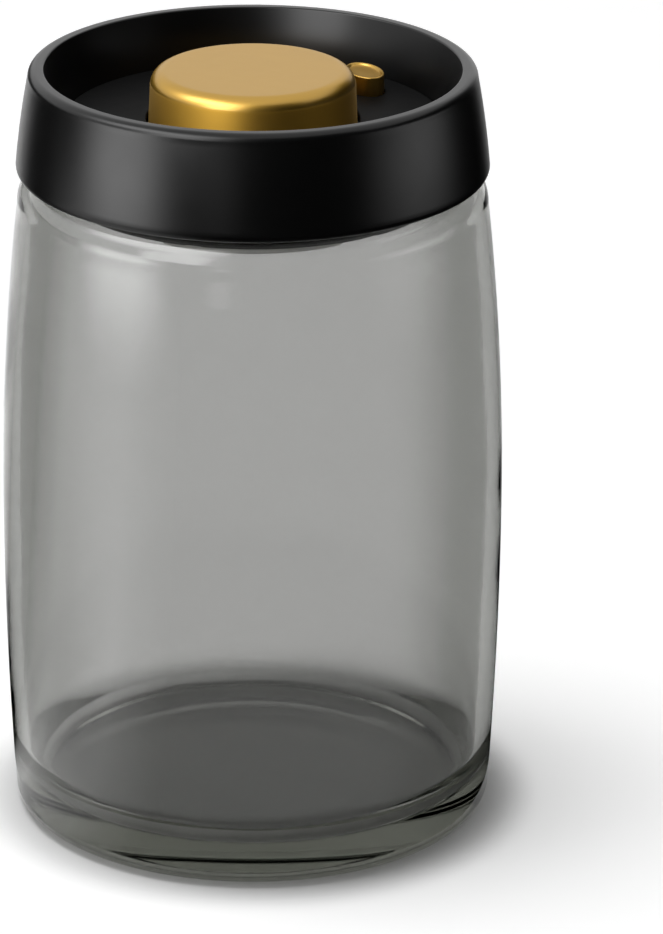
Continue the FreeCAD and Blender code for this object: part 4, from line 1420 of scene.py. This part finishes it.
def studio_floor(s):
    floor = new_object("studio_floor", [])
    work = bmesh.new()
    bmesh.ops.create_circle(work, cap_ends=True, segments=DISC_SEGMENTS, radius=s.floor_radius)
    work.to_mesh(floor.data)
    work.free()
    for vertex in floor.data.vertices:
        vertex.co.z = -s.floor_gap
    floor.data.materials.append(floor_white(s))


def toward(azimuth, elevation):
    """Direction from the jar, from an azimuth and an elevation in degrees."""
    a, e = math.radians(azimuth), math.radians(elevation)
    return Vector((math.sin(a) * math.cos(e), -math.cos(a) * math.cos(e), math.sin(e)))


def lamp(name, level, azimuth, elevation, distance, width, height, soft, matt=False):
    """Lamp that faces the lid from a direction, unseen by the camera, and fades over a share of its size.

    It lights matt surfaces alone, or else it shows in reflections alone."""
    light = bpy.data.lights.new(name, "AREA")
    light.shape = "RECTANGLE"
    light.size, light.size_y = width, height
    light.energy = level * math.pi * width * height
    obj = bpy.data.objects.new(name, light)
    bpy.context.scene.collection.objects.link(obj)
    direction = toward(azimuth, elevation)
    obj.location = collar_low.lerp(collar_high, 0.5) + direction * distance
    obj.rotation_euler = direction.to_track_quat("Z", "Y").to_euler()
    obj.visible_camera = obj.visible_transmission = False
    obj.visible_diffuse, obj.visible_glossy = matt, not matt
    light.use_nodes = True
    tree = light.node_tree
    spot = add(tree, "ShaderNodeSeparateXYZ", {0: out(add(tree, "ShaderNodeNewGeometry"), "Parametric")})
    strength = 1.0
    for axis in ("X", "Y"):
        off_centre = math_node(tree, "ABSOLUTE", math_node(tree, "SUBTRACT", out(spot, axis), 0.5))
        fade = add(tree, "ShaderNodeMapRange", {
            "Value": off_centre,
            "From Min": 0.5,
            "From Max": 0.5 - soft,
        }, interpolation_type="SMOOTHSTEP")
        strength = math_node(tree, "MULTIPLY", out(fade), strength)
    feed(tree, tree.nodes["Emission"].inputs["Strength"], strength)


def card_black():
    """Dull black on the side that faces the jar, fading at its ends, and nothing on the other side."""
    material = bpy.data.materials.new("card_black")
    material.use_nodes = True
    tree = material.node_tree
    dull = add(tree, "ShaderNodeBsdfDiffuse", {"Color": (0.0, 0.0, 0.0, 1.0)})
    clear = add(tree, "ShaderNodeBsdfTransparent")
    back = out(add(tree, "ShaderNodeNewGeometry"), "Backfacing")
    bare = out(add(tree, "ShaderNodeAttribute", attribute_name="bare"), "Fac")
    unseen = math_node(tree, "MAXIMUM", back, bare)
    either = add(tree, "ShaderNodeMixShader", {0: unseen, 1: out(dull), 2: out(clear)})
    tree.links.new(out(either), tree.nodes["Material Output"].inputs["Surface"])
    return material


def dark_card(name, material, near, far, start, end, fade):
    """Card that only reflections see, swept round the jar from one direction to another, with soft ends."""
    steps = 64
    points, faces, ends = [], [], []
    for i in range(steps + 1):
        azimuth = start + (end - start) * i / steps
        direction = toward(azimuth, 0.0)
        for radius, height in (near, far):
            points.append((direction.x * radius, direction.y * radius, height))
            ends.append(1.0 - min(1.0, min(azimuth - start, end - azimuth) / fade))
    for i in range(steps):
        faces.append((2 * i, 2 * i + 1, 2 * i + 3, 2 * i + 2))
    card = new_object(name, [])
    card.data.from_pydata(points, [], faces)
    card.data.materials.append(material)
    card.data.attributes.new("bare", "FLOAT", "POINT").data.foreach_set("value", ends)
    card.visible_camera = card.visible_diffuse = card.visible_transmission = card.visible_shadow = False


def photo_camera(s):
    data = bpy.data.cameras.new("camera")
    data.sensor_width = SENSOR_WIDTH
    data.lens = s.lens
    camera = bpy.data.objects.new("camera", data)
    bpy.context.scene.collection.objects.link(camera)
    back, up = s.distance * math.cos(s.elevation), s.distance * math.sin(s.elevation)
    camera.location = (0.0, -back, s.aim_height + up)
    facing = Euler((math.pi / 2 - s.pitch, 0.0, -s.yaw)).to_matrix() @ Matrix.Rotation(s.roll, 3, "Z")
    camera.rotation_euler = facing.to_euler()
    bpy.context.scene.camera = camera


class CANISTER_OT_stage(bpy.types.Operator):
    """Set up the floor, the lamps and the camera"""

    bl_idname = "canister.stage"
    bl_label = "Stage"

    def execute(self, context):
        s = settings("stage")
        studio_world(s)
        studio_floor(s)
        for name, place in LAMPS.items():
            lamp(f"{name}_lamp", getattr(s, name), **place)
        black = card_black()
        for name, place in CARDS.items():
            dark_card(f"{name}_card", black, **place)
        photo_camera(s)
        context.scene.cycles.glossy_bounces = context.scene.cycles.max_bounces
        context.scene.view_settings.view_transform = "Standard"
        return {"FINISHED"}


OPERATORS = (
    CANISTER_OT_glass_jar,
    CANISTER_OT_lid_collar,
    CANISTER_OT_lid_mouldings,
    CANISTER_OT_seals,
    CANISTER_OT_valves,
    CANISTER_OT_filter,
    CANISTER_OT_pump_knob,
    CANISTER_OT_release_button,
    CANISTER_OT_springs,
    CANISTER_OT_screws,
    CANISTER_OT_stage,
)


class CANISTER_PT_panel(bpy.types.Panel):
    """Sizes, colours and building steps of the canister"""

    bl_label = "Vacuum Seal Canister"
    bl_idname = "CANISTER_PT_panel"
    bl_space_type = "VIEW_3D"
    bl_region_type = "UI"
    bl_category = "Canister"

    def draw(self, context):
        for name, group in SETTINGS.items():
            box = self.layout.box()
            box.label(text=name.title())
            for field in group.__annotations__:
                box.prop(settings(name), field)
        for operator in OPERATORS:
            self.layout.operator(operator.bl_idname)


def register():
    for cls in (*SETTINGS.values(), *OPERATORS, CANISTER_PT_panel):
        bpy.utils.register_class(cls)
    for name, group in SETTINGS.items():
        setattr(bpy.types.Scene, f"canister_{name}", PointerProperty(type=group))


def unregister():
    for name in SETTINGS:
        delattr(bpy.types.Scene, f"canister_{name}")
    for cls in reversed((*SETTINGS.values(), *OPERATORS, CANISTER_PT_panel)):
        bpy.utils.unregister_class(cls)


def main():
    register()
    for operator in OPERATORS:
        group, name = operator.bl_idname.split(".")
        getattr(getattr(bpy.ops, group), name)()


if __name__ == "__main__":
    main()
